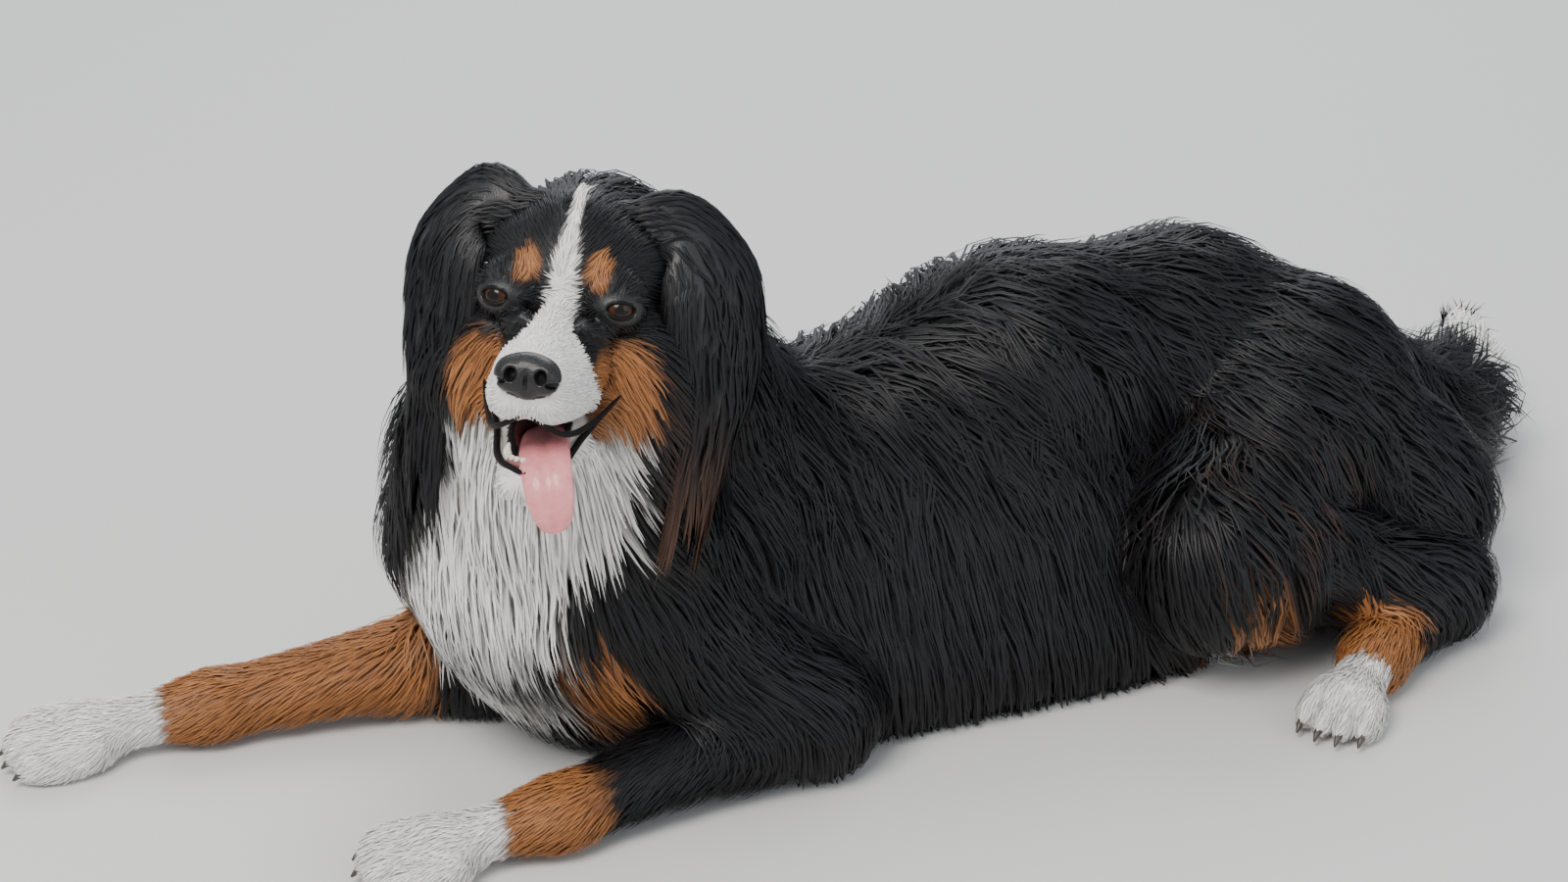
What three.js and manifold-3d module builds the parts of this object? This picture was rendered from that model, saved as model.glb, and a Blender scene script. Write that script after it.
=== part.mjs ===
// A Bernese mountain dog lying on its chest with its head turned to its left, life size, in millimetres.
// The dog faces -X, its left side is -Y and +Z is up. The floor is z = 0, and the origin is on the floor
// under the middle of the trunk.
//
// The body is a set of tapered bones of flesh that blend into one smooth surface. Each part's skin is a
// sphere whose points are pushed out from the part's spine until they meet that surface, and the long coat
// is a set of bent cones rooted in it, laid in rows like shingles along the lie of the hair.
import * as THREE from "three";
import { mergeVertices } from "three/addons/utils/BufferGeometryUtils.js";
import Module from "manifold-3d";

const wasm = await Module();
wasm.setup();

// Driving sizes
const GAP = 0.3; // clearance between two pieces that meet
const BODY_BLEND = 46; // how softly the body's bones run into each other
const LIMB_BLEND = 26;
const FACE_BLEND = 13;
const LOCK_CLEAR = 1.2; // clearance between the locks of two pieces
const FLOOR_CLEAR = 3; // lowest point of a lock over the floor
const SEED = 20240611;

// How much of the coat's depth the solid takes: under half of a long coat, all of a short one
const COVER = {
  trunk: 12, breast: 15, neck: 17, haunch: 13, arm: 11,
  forearm: 9, paw: 6, tail: 20, face: 7, cheek: 9,
};

// The coat's locks, by name: length, half width, half thickness and how high the tip lifts off the solid
const LOCKS = {
  saddle: { long: 138, wide: 28, thick: 6, lift: 16 },
  flank: { long: 140, wide: 26, thick: 6, lift: 15 },
  ruff: { long: 130, wide: 26, thick: 7, lift: 20 },
  bib: { long: 112, wide: 27, thick: 7, lift: 18 },
  haunch: { long: 122, wide: 28, thick: 6.5, lift: 16 },
  tail: { long: 138, wide: 27, thick: 8, lift: 25 },
  fringe: { long: 74, wide: 15, thick: 4.5, lift: 12 },
  cheek: { long: 54, wide: 15, thick: 4.5, lift: 9 },
};

// Head: the point between the eyes, where the muzzle points, and the size of what it carries
const BROW = new THREE.Vector3(-425, -190, 439);
const HEAD_TURN = 60; // degrees to the dog's left
const HEAD_LIFT = 15; // degrees of the muzzle above level
const HEAD_TILT = 4.5; // degrees, crown towards the dog's left
const EYE_SPREAD = 42;
const EYE_RADIUS = 12.5;
const EYE_DEPTH = -8;
const NOSE = { at: [101, 0, -36], wide: 47, high: 34, deep: 27 };
const HEAD_CUT = -92; // plane across the skull where the neck takes over

// Limb joints
const JOINTS = {
  left: {
    shoulder: [-362, -114, 150], elbow: [-222, -166, 50], wrist: [-444, -203, 29], toe: [-602, -200, 0],
    hip: [285, -48, 184], knee: [140, -170, 116], hock: [360, -186, 46],
    ball: [256, -246, 26], hindToe: [168, -314, 0],
  },
  right: {
    shoulder: [-345, 62, 160], elbow: [-425, 42, 46], wrist: [-640, 64, 29], toe: [-806, 84, 0],
    hip: [300, 84, 104], knee: [165, 88, 62], hock: [292, -88, 40],
    ball: [232, -120, 26], hindToe: [160, -128, 0],
  },
};
const TAIL_LINE = [
  [392, 44, 168], [446, 50, 112], [512, 70, 66], [568, 110, 60], [612, 154, 62], [646, 198, 72],
];
const TAIL_RADII = [32, 26, 22, 20, 18, 12];
const TAIL_CUTS = [0.36, 0.7];

const UP = new THREE.Vector3(0, 0, 1);
const vec = (p) => (p.isVector3 ? p.clone() : new THREE.Vector3(...p));
const degrees = THREE.MathUtils.degToRad;
const { clamp, lerp, smoothstep } = THREE.MathUtils;
const SIDES = { left: 1, right: -1 };
const pair = (make) => [make(1), make(-1)];

// Head frame: x forward along the muzzle, y to the dog's left, z towards the crown
const headFrame = headMatrix();
const onHead = (f, l, u) => new THREE.Vector3(f, l, u).applyMatrix4(headFrame);
const headWay = (f, l, u) => onHead(f, l, u).sub(BROW).normalize();

function headMatrix() {
  const turn = degrees(HEAD_TURN), lift = degrees(HEAD_LIFT);
  const forward = new THREE.Vector3(-Math.cos(turn), -Math.sin(turn), Math.tan(lift)).normalize();
  const left = new THREE.Vector3().crossVectors(UP, forward).normalize();
  left.applyAxisAngle(forward, degrees(-HEAD_TILT));
  const crown = new THREE.Vector3().crossVectors(forward, left);
  return new THREE.Matrix4().makeBasis(forward, left, crown).setPosition(BROW);
}

// Solids and their joins
function solid(geometry) {
  const bare = geometry.clone();
  for (const name of ["normal", "uv"]) bare.deleteAttribute(name);
  const merged = mergeVertices(bare, 1e-3);
  const mesh = new wasm.Mesh({
    numProp: 3,
    vertProperties: merged.attributes.position.array,
    triVerts: new Uint32Array(merged.index.array),
  });
  return new wasm.Manifold(mesh);
}

function geometryOf(made) {
  const mesh = made.getMesh();
  const geometry = new THREE.BufferGeometry();
  geometry.setAttribute("position", new THREE.Float32BufferAttribute(mesh.vertProperties, 3));
  geometry.setIndex(new THREE.BufferAttribute(new Uint32Array(mesh.triVerts), 1));
  return geometry;
}

const join = (solids) => solids.reduce((all, one) => all.add(one));
const largest = (made) => made.decompose().sort((a, b) => b.volume() - a.volume())[0];

function meets(one, other) {
  const a = one.boundingBox(), b = other.boundingBox();
  return [0, 1, 2].every((k) => a.min[k] < b.max[k] && b.min[k] < a.max[k]);
}

// Everything on one side of a plane through a point, as a block to cut away
function beyond(point, normal, shift = 0) {
  const size = 2400;
  const block = new THREE.BoxGeometry(size, size, size).translate(0, 0, size / 2);
  const turn = new THREE.Quaternion().setFromUnitVectors(UP, normal.clone().normalize());
  const at = point.clone().addScaledVector(normal.clone().normalize(), shift);
  return solid(block.applyQuaternion(turn).translate(at.x, at.y, at.z));
}
const underFloor = beyond(new THREE.Vector3(), UP.clone().negate());

// An egg of three radii in a frame given by its axes as a matrix
function egg(radii, matrix, sides = 10, rings = 7) {
  return solid(new THREE.SphereGeometry(1, sides, rings).scale(...radii).applyMatrix4(matrix));
}
const headEgg = (at, radii, sides, rings) =>
  egg(radii, headFrame.clone().multiply(new THREE.Matrix4().setPosition(...at)), sides, rings);

// A bone of flesh: a tapered rod with round ends, and how deep the coat's solid lies over it
const bone = (a, b, ra, rb, cover) => ({ a: vec(a), b: vec(b), ra: ra + cover, rb: rb + cover });

function boneDistance(p, { a, b, ra, rb }) {
  const abx = b.x - a.x, aby = b.y - a.y, abz = b.z - a.z;
  const length2 = abx * abx + aby * aby + abz * abz || 1;
  const t = clamp(((p.x - a.x) * abx + (p.y - a.y) * aby + (p.z - a.z) * abz) / length2, 0, 1);
  return Math.hypot(p.x - a.x - t * abx, p.y - a.y - t * aby, p.z - a.z - t * abz) - lerp(ra, rb, t);
}

function blended(near, far, blend) {
  const overlap = Math.max(blend - Math.abs(near - far), 0) / blend;
  return Math.min(near, far) - (overlap * overlap * blend) / 4;
}
const flesh = (bones, blend) => (p) => bones.reduce((d, one) => blended(d, boneDistance(p, one), blend), 1e3);
const either = (fields, blend) => (p) => fields.reduce((d, field) => blended(d, field(p), blend), 1e3);

function outward(field, p) {
  const step = 1.5, at = p.clone();
  const slope = (axis) => {
    at.copy(p)[axis] += step;
    const ahead = field(at);
    at.copy(p)[axis] -= step;
    return ahead - field(at);
  };
  return new THREE.Vector3(slope("x"), slope("y"), slope("z")).normalize();
}

function ontoSurface(field, p) {
  for (let turn = 0; turn < 4; turn++) p.addScaledVector(outward(field, p), -field(p));
  return p;
}

// How far it is from a point inside the flesh to its surface, along a direction
function depthAlong(field, from, direction, reach) {
  const at = new THREE.Vector3();
  const value = (t) => field(at.copy(from).addScaledVector(direction, t));
  let near = 0, far = 0;
  while (far < reach && value(far) < 0) {
    near = far;
    far += Math.max(3, -value(far) * 0.7);
  }
  if (far >= reach) return reach;
  for (let turn = 0; turn < 10; turn++) {
    const middle = (near + far) / 2;
    if (value(middle) < 0) near = middle;
    else far = middle;
  }
  return (near + far) / 2;
}

const spineOf = (points) => new THREE.CatmullRomCurve3(points.map(vec), false, "centripetal");
const straight = (a, b, from = 0, to = 1) => spineOf([from, (from + to) / 2, to].map((t) => vec(a).lerp(vec(b), t)));

// The two directions across a spine
function across(spine, t, crown) {
  const ahead = spine.getTangentAt(t);
  const side = new THREE.Vector3().crossVectors(crown, ahead).normalize();
  return { ahead, side, top: new THREE.Vector3().crossVectors(ahead, side) };
}

// A sphere stretched along a spine and pushed out to the flesh's surface
function wrap(field, spine, { rings, sides, cap = 0.22, reach = 260, crown = UP }, grow = 0) {
  const shell = new THREE.SphereGeometry(1, sides, rings);
  const place = shell.getAttribute("position");
  const grown = (p) => field(p) - grow;
  for (let i = 0; i < place.count; i++) {
    const polar = Math.acos(clamp(place.getY(i), -1, 1)) / Math.PI;
    const around = Math.atan2(place.getZ(i), place.getX(i));
    const along = clamp((polar - cap) / (1 - 2 * cap), 0, 1);
    const lean = (clamp(polar / cap, 0, 1) - 1 + clamp((polar - 1) / cap + 1, 0, 1)) * (Math.PI / 2);
    const from = spine.getPointAt(along);
    const { ahead, side, top } = across(spine, along, crown);
    const direction = side.multiplyScalar(Math.cos(around)).addScaledVector(top, Math.sin(around));
    direction.multiplyScalar(Math.cos(lean)).addScaledVector(ahead, Math.sin(lean)).normalize();
    from.addScaledVector(direction, depthAlong(grown, from, direction, reach + grow));
    place.setXYZ(i, from.x, from.y, from.z);
  }
  return solid(shell);
}

// A bar bent along a curve, of given half widths and half thicknesses, its section dished by a share of its width
function bar(curve, wides, thicks, flatSide, { sides = 8, steps = 6, dish = 0 } = {}, grow = 0) {
  const shell = new THREE.CylinderGeometry(1, 1, 1, sides, steps);
  const place = shell.getAttribute("position");
  const sample = (list, t) => {
    const x = t * (list.length - 1), i = Math.min(Math.floor(x), list.length - 2);
    return lerp(list[i], list[i + 1], smoothstep(x - i, 0, 1));
  };
  for (let i = 0; i < place.count; i++) {
    const t = place.getY(i) + 0.5, x = place.getX(i);
    const ahead = curve.getTangentAt(t);
    const side = new THREE.Vector3().crossVectors(ahead, flatSide).normalize();
    const face = new THREE.Vector3().crossVectors(side, ahead);
    const wide = sample(wides, t);
    const at = curve.getPointAt(t).addScaledVector(ahead, t < 0.01 ? -grow : t > 0.99 ? grow : 0);
    at.addScaledVector(side, x * (wide + grow));
    at.addScaledVector(face, place.getZ(i) * (sample(thicks, t) + grow) - x * x * wide * dish);
    place.setXYZ(i, at.x, at.y, at.z);
  }
  return solid(shell);
}

// Seeded draws, so that the coat is the same each time
let drawn = SEED;
function draw(low, high) {
  drawn = (drawn + 0x6d2b79f5) | 0;
  let t = Math.imul(drawn ^ (drawn >>> 15), 1 | drawn);
  t = (t + Math.imul(t ^ (t >>> 7), 61 | t)) ^ t;
  return low + (high - low) * (((t ^ (t >>> 14)) >>> 0) / 4294967296);
}

// Flesh
const { left, right } = JOINTS;
const trunkBones = [
  bone([-285, -30, 146], [40, 2, 206], 86, 98, COVER.trunk), // rib cage, upper
  bone([-335, -38, 104], [10, -8, 104], 92, 106, COVER.trunk), // rib cage, lower
  bone([-350, -40, 150], [-386, -44, 160], 86, 72, COVER.breast),
  bone([-262, -78, 186], [-346, -106, 158], 46, 54, COVER.trunk), // left shoulder blade
  bone([-255, 32, 190], [-335, 64, 165], 46, 50, COVER.trunk), // right shoulder blade
  bone([40, 2, 208], [210, 22, 200], 98, 90, COVER.trunk), // loin
  bone([10, -8, 104], [200, 0, 96], 106, 90, COVER.trunk), // belly
  bone([-200, -62, 78], [150, -66, 76], 80, 78, COVER.trunk), // the belly's left side, spread on the floor
  bone([-200, 36, 78], [150, 62, 76], 78, 78, COVER.trunk),
  bone([-190, -112, 40], [120, -118, 38], 42, 40, COVER.trunk),
  bone([-190, 88, 40], [130, 110, 38], 40, 40, COVER.trunk),
  bone([210, 22, 196], [332, 38, 152], 90, 80, COVER.trunk), // croup
];
const neckBones = [
  bone([-236, -24, 206], onHead(-112, 4, 10), 78, 62, COVER.neck), // nape
  bone([-440, -16, 178], onHead(-76, -64, -66), 54, 46, COVER.neck), // ruff
  bone([-350, -118, 185], onHead(-78, 54, -58), 52, 46, COVER.neck),
  bone([-408, -72, 160], onHead(-62, 0, -84), 62, 44, COVER.neck), // throat
];
const limbBones = (j) => ({
  upperArm: [bone(j.shoulder, j.elbow, 54, 44, COVER.arm)],
  forearm: [bone(j.elbow, j.wrist, 38, 23, COVER.forearm)],
  shank: [bone(j.knee, j.hock, 50, 30, COVER.haunch)],
  pastern: [bone(j.hock, j.ball, 25, 20, COVER.paw)],
});
const thighBones = {
  left: [
    bone(left.hip, left.knee, 84, 56, COVER.haunch),
    bone([300, -62, 150], [372, -104, 92], 76, 62, COVER.haunch),
  ],
  right: [
    bone(right.hip, right.knee, 84, 58, COVER.haunch),
    bone([330, 84, 120], [370, 62, 84], 64, 60, COVER.haunch),
  ],
};

// Face, in the head's frame
const face = (a, b, ra, rb, cover = COVER.face) => bone(onHead(...a), onHead(...b), ra, rb, cover);
const headBones = [
  face([-72, 0, 8], [-106, 0, 2], 62, 58), // skull
  face([-34, 0, 12], [-62, 0, 36], 29, 34), // forehead
  ...pair((s) => face([-27, s * 34, 10], [-50, s * 38, 26], 17, 23)), // brows
  ...pair((s) => face([-44, s * 42, -36], [-88, s * 47, -34], 30, 34, COVER.cheek)), // cheeks
  ...pair((s) => face([-4, s * 13, -43], [86, s * 10, -45], 24, 17)), // muzzle
  face([-16, 0, -14], [92, 0, -35], 16, 12), // bridge of the muzzle
  ...pair((s) => face([18, s * 22, -60], [78, s * 15, -60], 15, 12)), // flews
];
const jawBones = [
  ...pair((s) => face([-64, s * 40, -66], [16, s * 18, -95], 20, 13, COVER.cheek)),
  ...pair((s) => face([16, s * 18, -95], [74, s * 9, -117], 11, 9)),
  face([-54, 0, -80], [12, 0, -104], 34, 15, COVER.cheek),
  face([12, 0, -104], [68, 0, -119], 15, 10),
];

const trunk = flesh(trunkBones, BODY_BLEND);
const neck = flesh(neckBones, BODY_BLEND);
const head = flesh(headBones, FACE_BLEND);
const jaw = flesh(jawBones, FACE_BLEND);
const limb = {};
for (const name of Object.keys(SIDES)) {
  limb[name] = { thigh: flesh(thighBones[name], LIMB_BLEND) };
  for (const [part, bones] of Object.entries(limbBones(JOINTS[name]))) limb[name][part] = flesh(bones, LIMB_BLEND);
}
const tailCurve = spineOf(TAIL_LINE);
const tail = flesh(
  TAIL_LINE.slice(1).map((point, i) => bone(TAIL_LINE[i], point, TAIL_RADII[i], TAIL_RADII[i + 1], COVER.tail)),
  LIMB_BLEND,
);
const pastTail = vec(TAIL_LINE.at(-1)).addScaledVector(tailCurve.getTangentAt(1), 48);
const tailWay = either([tail, flesh([bone(TAIL_LINE.at(-1), pastTail, TAIL_RADII.at(-1), 2, 10)], 8)], LIMB_BLEND);
const bodyFields = [trunk, neck];
for (const one of Object.values(limb)) bodyFields.push(one.upperArm, one.forearm, one.thigh, one.shank);
const wholeBody = either(bodyFields, LIMB_BLEND);
const wholeFront = either([head, jaw, neck], LIMB_BLEND);

// Spines that the parts are wrapped round
const trunkSpine = spineOf([[-372, -42, 150], [-250, -26, 150], [-60, -4, 152], [120, 10, 155], [330, 38, 148]]);
const neckSpine = spineOf([[-330, -58, 190], [-352, -96, 262], onHead(-98, 0, -30)]);
const thighSpine = {
  left: spineOf([[315, -60, 155], [235, -100, 156], left.knee]),
  right: spineOf([[335, 76, 110], [255, 84, 92], right.knee]),
};

// A lock of hair: a flat three-sided cone, its ridge outwards, that follows the surface along the lie
// and lifts off it to its tip
const LOCK_STEPS = 3;
const LOCK_SINK = 9;
function lockPath(field, root, along, { long, lift }, sway) {
  const stations = [];
  const p = ontoSurface(field, vec(root));
  for (let i = 0; i <= LOCK_STEPS; i++) {
    const t = i / LOCK_STEPS;
    const normal = outward(field, p);
    const ahead = along(p).projectOnPlane(normal).normalize().applyAxisAngle(normal, sway * (t - 0.35));
    const at = p.clone().addScaledVector(normal, lerp(-LOCK_SINK, lift, t ** 0.7));
    stations.push({ at, ahead, normal });
    ontoSurface(field, p.addScaledVector(ahead, long / LOCK_STEPS));
  }
  return stations;
}

// A lock that hangs free from its root, for the edges of the ears
function freePath(root, along, normal, long) {
  const stations = [];
  for (let i = 0; i <= LOCK_STEPS; i++) {
    const t = i / LOCK_STEPS;
    const ahead = along.clone().addScaledVector(UP, -0.35 * t).normalize();
    const at = root.clone().addScaledVector(along, long * t).addScaledVector(UP, -14 * t * t);
    stations.push({ at, ahead, normal });
  }
  return stations;
}

function lockSolid({ stations, wide, thick }, grow = 0) {
  const cone = new THREE.ConeGeometry(1, 1, 3, LOCK_STEPS);
  const place = cone.getAttribute("position");
  for (let i = 0; i < place.count; i++) {
    const t = place.getY(i) + 0.5;
    const { at, ahead, normal } = stations[Math.round(t * LOCK_STEPS)];
    const side = new THREE.Vector3().crossVectors(ahead, normal).normalize();
    const tip = t > 0.99;
    const full = tip ? 0 : 1 / (1 - t);
    const spread = wide * (0.74 + 0.26 * Math.sin(Math.PI * Math.min(1, t * 1.5))) + grow * 4;
    const spot = at.clone().addScaledVector(side, place.getX(i) * full * spread * 1.15);
    spot.addScaledVector(normal, place.getZ(i) * full * (thick * (1.3 - 0.6 * t) + grow * 2));
    spot.addScaledVector(ahead, tip ? grow * 3 : t < 0.01 ? -grow : 0);
    spot.z = Math.max(spot.z, FLOOR_CLEAR - grow);
    place.setXYZ(i, spot.x, spot.y, spot.z);
  }
  return solid(cone);
}

// Rows of locks over a part, each row half a lock to the side of the last
function rowsOver(field, spine, plan) {
  const { from, to, rows, low, high, columns, kind, along, over = wholeBody, crown = UP, keep } = plan;
  const locks = [];
  for (let row = 0; row < rows; row++) {
    for (let column = 0; column < columns; column++) {
      const t = clamp(lerp(from, to, (row + draw(-0.14, 0.14)) / Math.max(rows - 1, 1)), 0, 1);
      const place = (column + (row % 2) * 0.5 + draw(-0.15, 0.15)) / Math.max(columns - 0.5, 1);
      const turn = degrees(lerp(low, high, place));
      const vary = draw(0.86, 1.14), sway = draw(-0.5, 0.5), rise = draw(0.8, 1.15);
      const origin = spine.getPointAt(t);
      const { side, top } = across(spine, t, crown);
      const direction = top.multiplyScalar(Math.cos(turn)).addScaledVector(side, Math.sin(turn));
      const root = origin.addScaledVector(direction, depthAlong(field, origin, direction, 260));
      if (keep && !keep(root)) continue;
      const { long, wide, thick, lift } = LOCKS[kind];
      const stations = lockPath(over, root, along, { long: long * vary, lift: lift * rise }, sway);
      locks.push({ stations, wide, thick });
    }
  }
  return locks;
}

const clearOf = (p, by, ...fields) => fields.every((field) => field(p) > by);
const lie = {
  trunk: (p) => new THREE.Vector3(lerp(0.3, 0.85, smoothstep(p.x, -420, -180)), p.y * 0.001, -1),
  neck: (p) => {
    const back = smoothstep(p.x, -440, -330);
    return new THREE.Vector3(lerp(-0.05, 0.6, back), lerp(-0.1, 0.35, back), -1);
  },
  haunch: (p) => new THREE.Vector3(lerp(0.25, 0.8, smoothstep(p.x, 120, 300)), -0.1, -1),
  arm: () => new THREE.Vector3(0.7, -0.05, -0.55),
  cheek: (p) => headWay(-0.75, Math.sign(p.clone().applyMatrix4(headFrame.clone().invert()).y) * 0.2, -0.7),
  tail: (p) => {
    let best = 0;
    for (let t = 0; t <= 1; t += 0.05) {
      if (tailCurve.getPointAt(t).distanceTo(p) < tailCurve.getPointAt(best).distanceTo(p)) best = t;
    }
    return tailCurve.getTangentAt(best).addScaledVector(UP, -0.15);
  },
};

const aboveFloor = (p) => p.z > 34;
const armsAndThighs = [limb.left.upperArm, limb.right.upperArm, limb.left.thigh, limb.right.thigh];
const torsoLocks = [
  ...rowsOver(trunk, trunkSpine, {
    from: 0.1, to: 0.96, rows: 7, low: -60, high: 60, columns: 5, kind: "saddle", along: lie.trunk,
    keep: (p) => clearOf(p, 6, neck, ...armsAndThighs),
  }),
  ...rowsOver(trunk, trunkSpine, {
    from: 0.16, to: 0.8, rows: 6, low: 76, high: 108, columns: 2, kind: "flank", along: lie.trunk,
    keep: (p) => aboveFloor(p) && clearOf(p, 6, neck, ...armsAndThighs),
  }),
  ...rowsOver(trunk, trunkSpine, {
    from: 0.16, to: 0.8, rows: 6, low: -108, high: -76, columns: 2, kind: "flank", along: lie.trunk,
    keep: (p) => aboveFloor(p) && clearOf(p, 6, neck, ...armsAndThighs),
  }),
];
const neckLocks = rowsOver(neck, neckSpine, {
  from: 0.94, to: 0.34, rows: 3, low: -180, high: 145, columns: 10, kind: "ruff", along: lie.neck,
  over: either([neck, trunk, limb.left.upperArm, limb.right.upperArm], LIMB_BLEND),
  keep: (p) => clearOf(p, 4, trunk, head, jaw),
});
const breastLocks = rowsOver(trunk, spineOf([[-330, -42, 60], [-330, -42, 150], [-330, -42, 215]]), {
  from: 0.8, to: 0.4, rows: 2, low: -55, high: 70, columns: 5, kind: "bib",
  along: () => new THREE.Vector3(0.05, 0, -1),
  crown: new THREE.Vector3(-1, 0, 0),
  keep: (p) => aboveFloor(p) && clearOf(p, 4, neck, limb.left.upperArm, limb.right.upperArm, limb.right.forearm),
});

function haunchLocks(name) {
  const low = name === "left" ? 40 : -165, high = name === "left" ? 165 : -20;
  return rowsOver(limb[name].thigh, thighSpine[name], {
    from: 0.08, to: 0.9, rows: 3, low, high, columns: 3, kind: "haunch", along: lie.haunch,
    keep: (p) => p.z > 40 && clearOf(p, 4, trunk),
  });
}

function tailLocks(from, to, rows, columns) {
  return rowsOver(tail, tailCurve, {
    from, to, rows, low: -150, high: 150, columns, kind: "tail", along: lie.tail, over: tailWay,
    keep: (p) => p.z > 22 && clearOf(p, 0, trunk, limb.left.thigh, limb.right.thigh),
  });
}

function armLocks(name) {
  return rowsOver(limb[name].upperArm, straight(JOINTS[name].shoulder, JOINTS[name].elbow), {
    from: 0.2, to: 0.9, rows: 2, low: -150, high: -30, columns: name === "left" ? 3 : 2,
    kind: "bib", along: lie.arm, keep: (p) => p.z > 34 && clearOf(p, 2, trunk, neck, limb[name].forearm),
  });
}

function cheekLocks() {
  return pair((s) =>
    [[-62, 74, -8], [-66, 78, -34], [-60, 74, -60]].map(([f, l, u]) => {
      const { long, wide, thick, lift } = LOCKS.cheek;
      const path = lockPath(wholeFront, onHead(f, s * l, u), lie.cheek, { long, lift }, 0);
      return { stations: path, wide, thick };
    }),
  ).flat();
}

// Parts of the face
const eye = (s, grow) => headEgg([EYE_DEPTH, s * EYE_SPREAD, 0], Array(3).fill(EYE_RADIUS + grow), 10, 7);

// The mound of the lids round an eye, and the almond opening cut in it
const eyeWay = (s) => new THREE.Matrix4().makeRotationZ(degrees(s * 20));
function nearEye(s, at, radii, grow = 0) {
  const place = new THREE.Matrix4().setPosition(EYE_DEPTH, s * EYE_SPREAD, 0).multiply(eyeWay(s));
  place.multiply(new THREE.Matrix4().setPosition(at[0], s * at[1], at[2]));
  return egg(radii.map((r) => r + grow), headFrame.clone().multiply(place), 9, 5);
}
const lids = (s, grow) => nearEye(s, [-3, 0, 0.5], [17.5, 21, 17], grow);
const lidOpening = (s) => nearEye(s, [13, 0, 0], [8, 12.5, 7.5]);

function noseSolid(grow) {
  const pad = headEgg(NOSE.at, [NOSE.deep / 2 + grow, NOSE.wide / 2 + grow, NOSE.high / 2 + grow], 11, 7);
  if (grow) return pad;
  const nostrils = pair((s) => headEgg([NOSE.at[0] + 12, s * 11, NOSE.at[2] + 1], [10, 4.5, 5], 6, 4));
  const wings = pair((s) => headEgg([NOSE.at[0] + 7, s * 21, NOSE.at[2] - 4], [10, 5, 2.4], 5, 3));
  return pad.subtract(join([...nostrils, ...wings]));
}

const tongueLine = spineOf(
  [[8, 2, -88], [40, 5, -91], [68, 9, -96], [86, 15, -112], [90, 21, -134], [86, 24, -152]].map((p) => onHead(...p)),
);
const TONGUE = { wides: [18, 19, 20, 20, 19, 9], thicks: [4, 4, 4.2, 4.2, 4, 2.6], shape: { sides: 8, steps: 8 } };
const tongueSolid = (grow) =>
  bar(tongueLine, TONGUE.wides, TONGUE.thicks, headWay(0.9, 0, 0.45), TONGUE.shape, grow);

// The edge of a lip: a round bar from the front of the mouth to its corner
function lip(points, s, thick) {
  const line = spineOf(points.map(([f, l, u]) => onHead(f, s * l, u)));
  const girth = [thick, thick, thick * 0.6];
  return bar(line, girth, girth, UP, { sides: 4, steps: 3 });
}
const UPPER_LIP = [[94, 3, -66], [72, 24, -78], [30, 38, -76], [-12, 50, -62]];
const LOWER_LIP = [[84, 0, -108], [62, 20, -104], [26, 31, -88], [-10, 45, -68]];

function headSolid(grow) {
  const spine = spineOf([[-96, 0, 0], [-42, 0, -8], [18, 0, -38], [76, 0, -46]].map((p) => onHead(...p)));
  const skull = wrap(head, spine, { rings: 14, sides: 17, cap: 0.2, crown: headWay(0, 0, 1) }, grow);
  const whole = join([skull, ...pair((s) => lids(s, grow)), ...pair((s) => lip(UPPER_LIP, s, 3.6 + grow))]);
  return grow ? whole : whole.subtract(join([headEgg([36, 0, -84], [50, 16, 15], 8, 5), ...pair(lidOpening)]));
}

function jawSolid(grow) {
  const spine = spineOf([[-52, 0, -78], [10, 0, -101], [64, 0, -117]].map((p) => onHead(...p)));
  const bowl = wrap(jaw, spine, { rings: 8, sides: 9, crown: headWay(0, 0, 1) }, grow);
  const whole = join([bowl, ...pair((s) => lip(LOWER_LIP, s, 3.4 + grow))]);
  return grow ? whole : whole.subtract(headEgg([34, 0, -88], [46, 15, 16], 8, 5));
}

// The lower gum with its incisors and canines, one piece
function teethSolid(grow) {
  const arc = [-66, -42, -24, -8, 8, 24, 42, 66];
  const spot = (turn, u) => [56 + 17 * Math.cos(degrees(turn)), 14.5 * Math.sin(degrees(turn)), u];
  const gum = spineOf([-88, -44, 0, 44, 88].map((turn) => onHead(...spot(turn, -105))));
  const set = arc.map((turn) => {
    const canine = Math.abs(turn) > 50;
    const high = canine ? 17 : 9, wide = canine ? 3.6 : 2.5;
    const [f, l] = spot(turn, 0);
    const cone = new THREE.ConeGeometry(wide + grow, high + grow * 2, 4, 1).rotateX(Math.PI / 2);
    const place = headFrame.clone().multiply(new THREE.Matrix4().setPosition(f, l, -105 + high / 2));
    return solid(cone.applyMatrix4(place));
  });
  const ridge = bar(gum, [3.6, 4, 4, 3.6], [4, 4.4, 4.4, 4], headWay(0, 0, 1), { sides: 4, steps: 4 }, grow);
  return join([ridge, ...set]);
}

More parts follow.
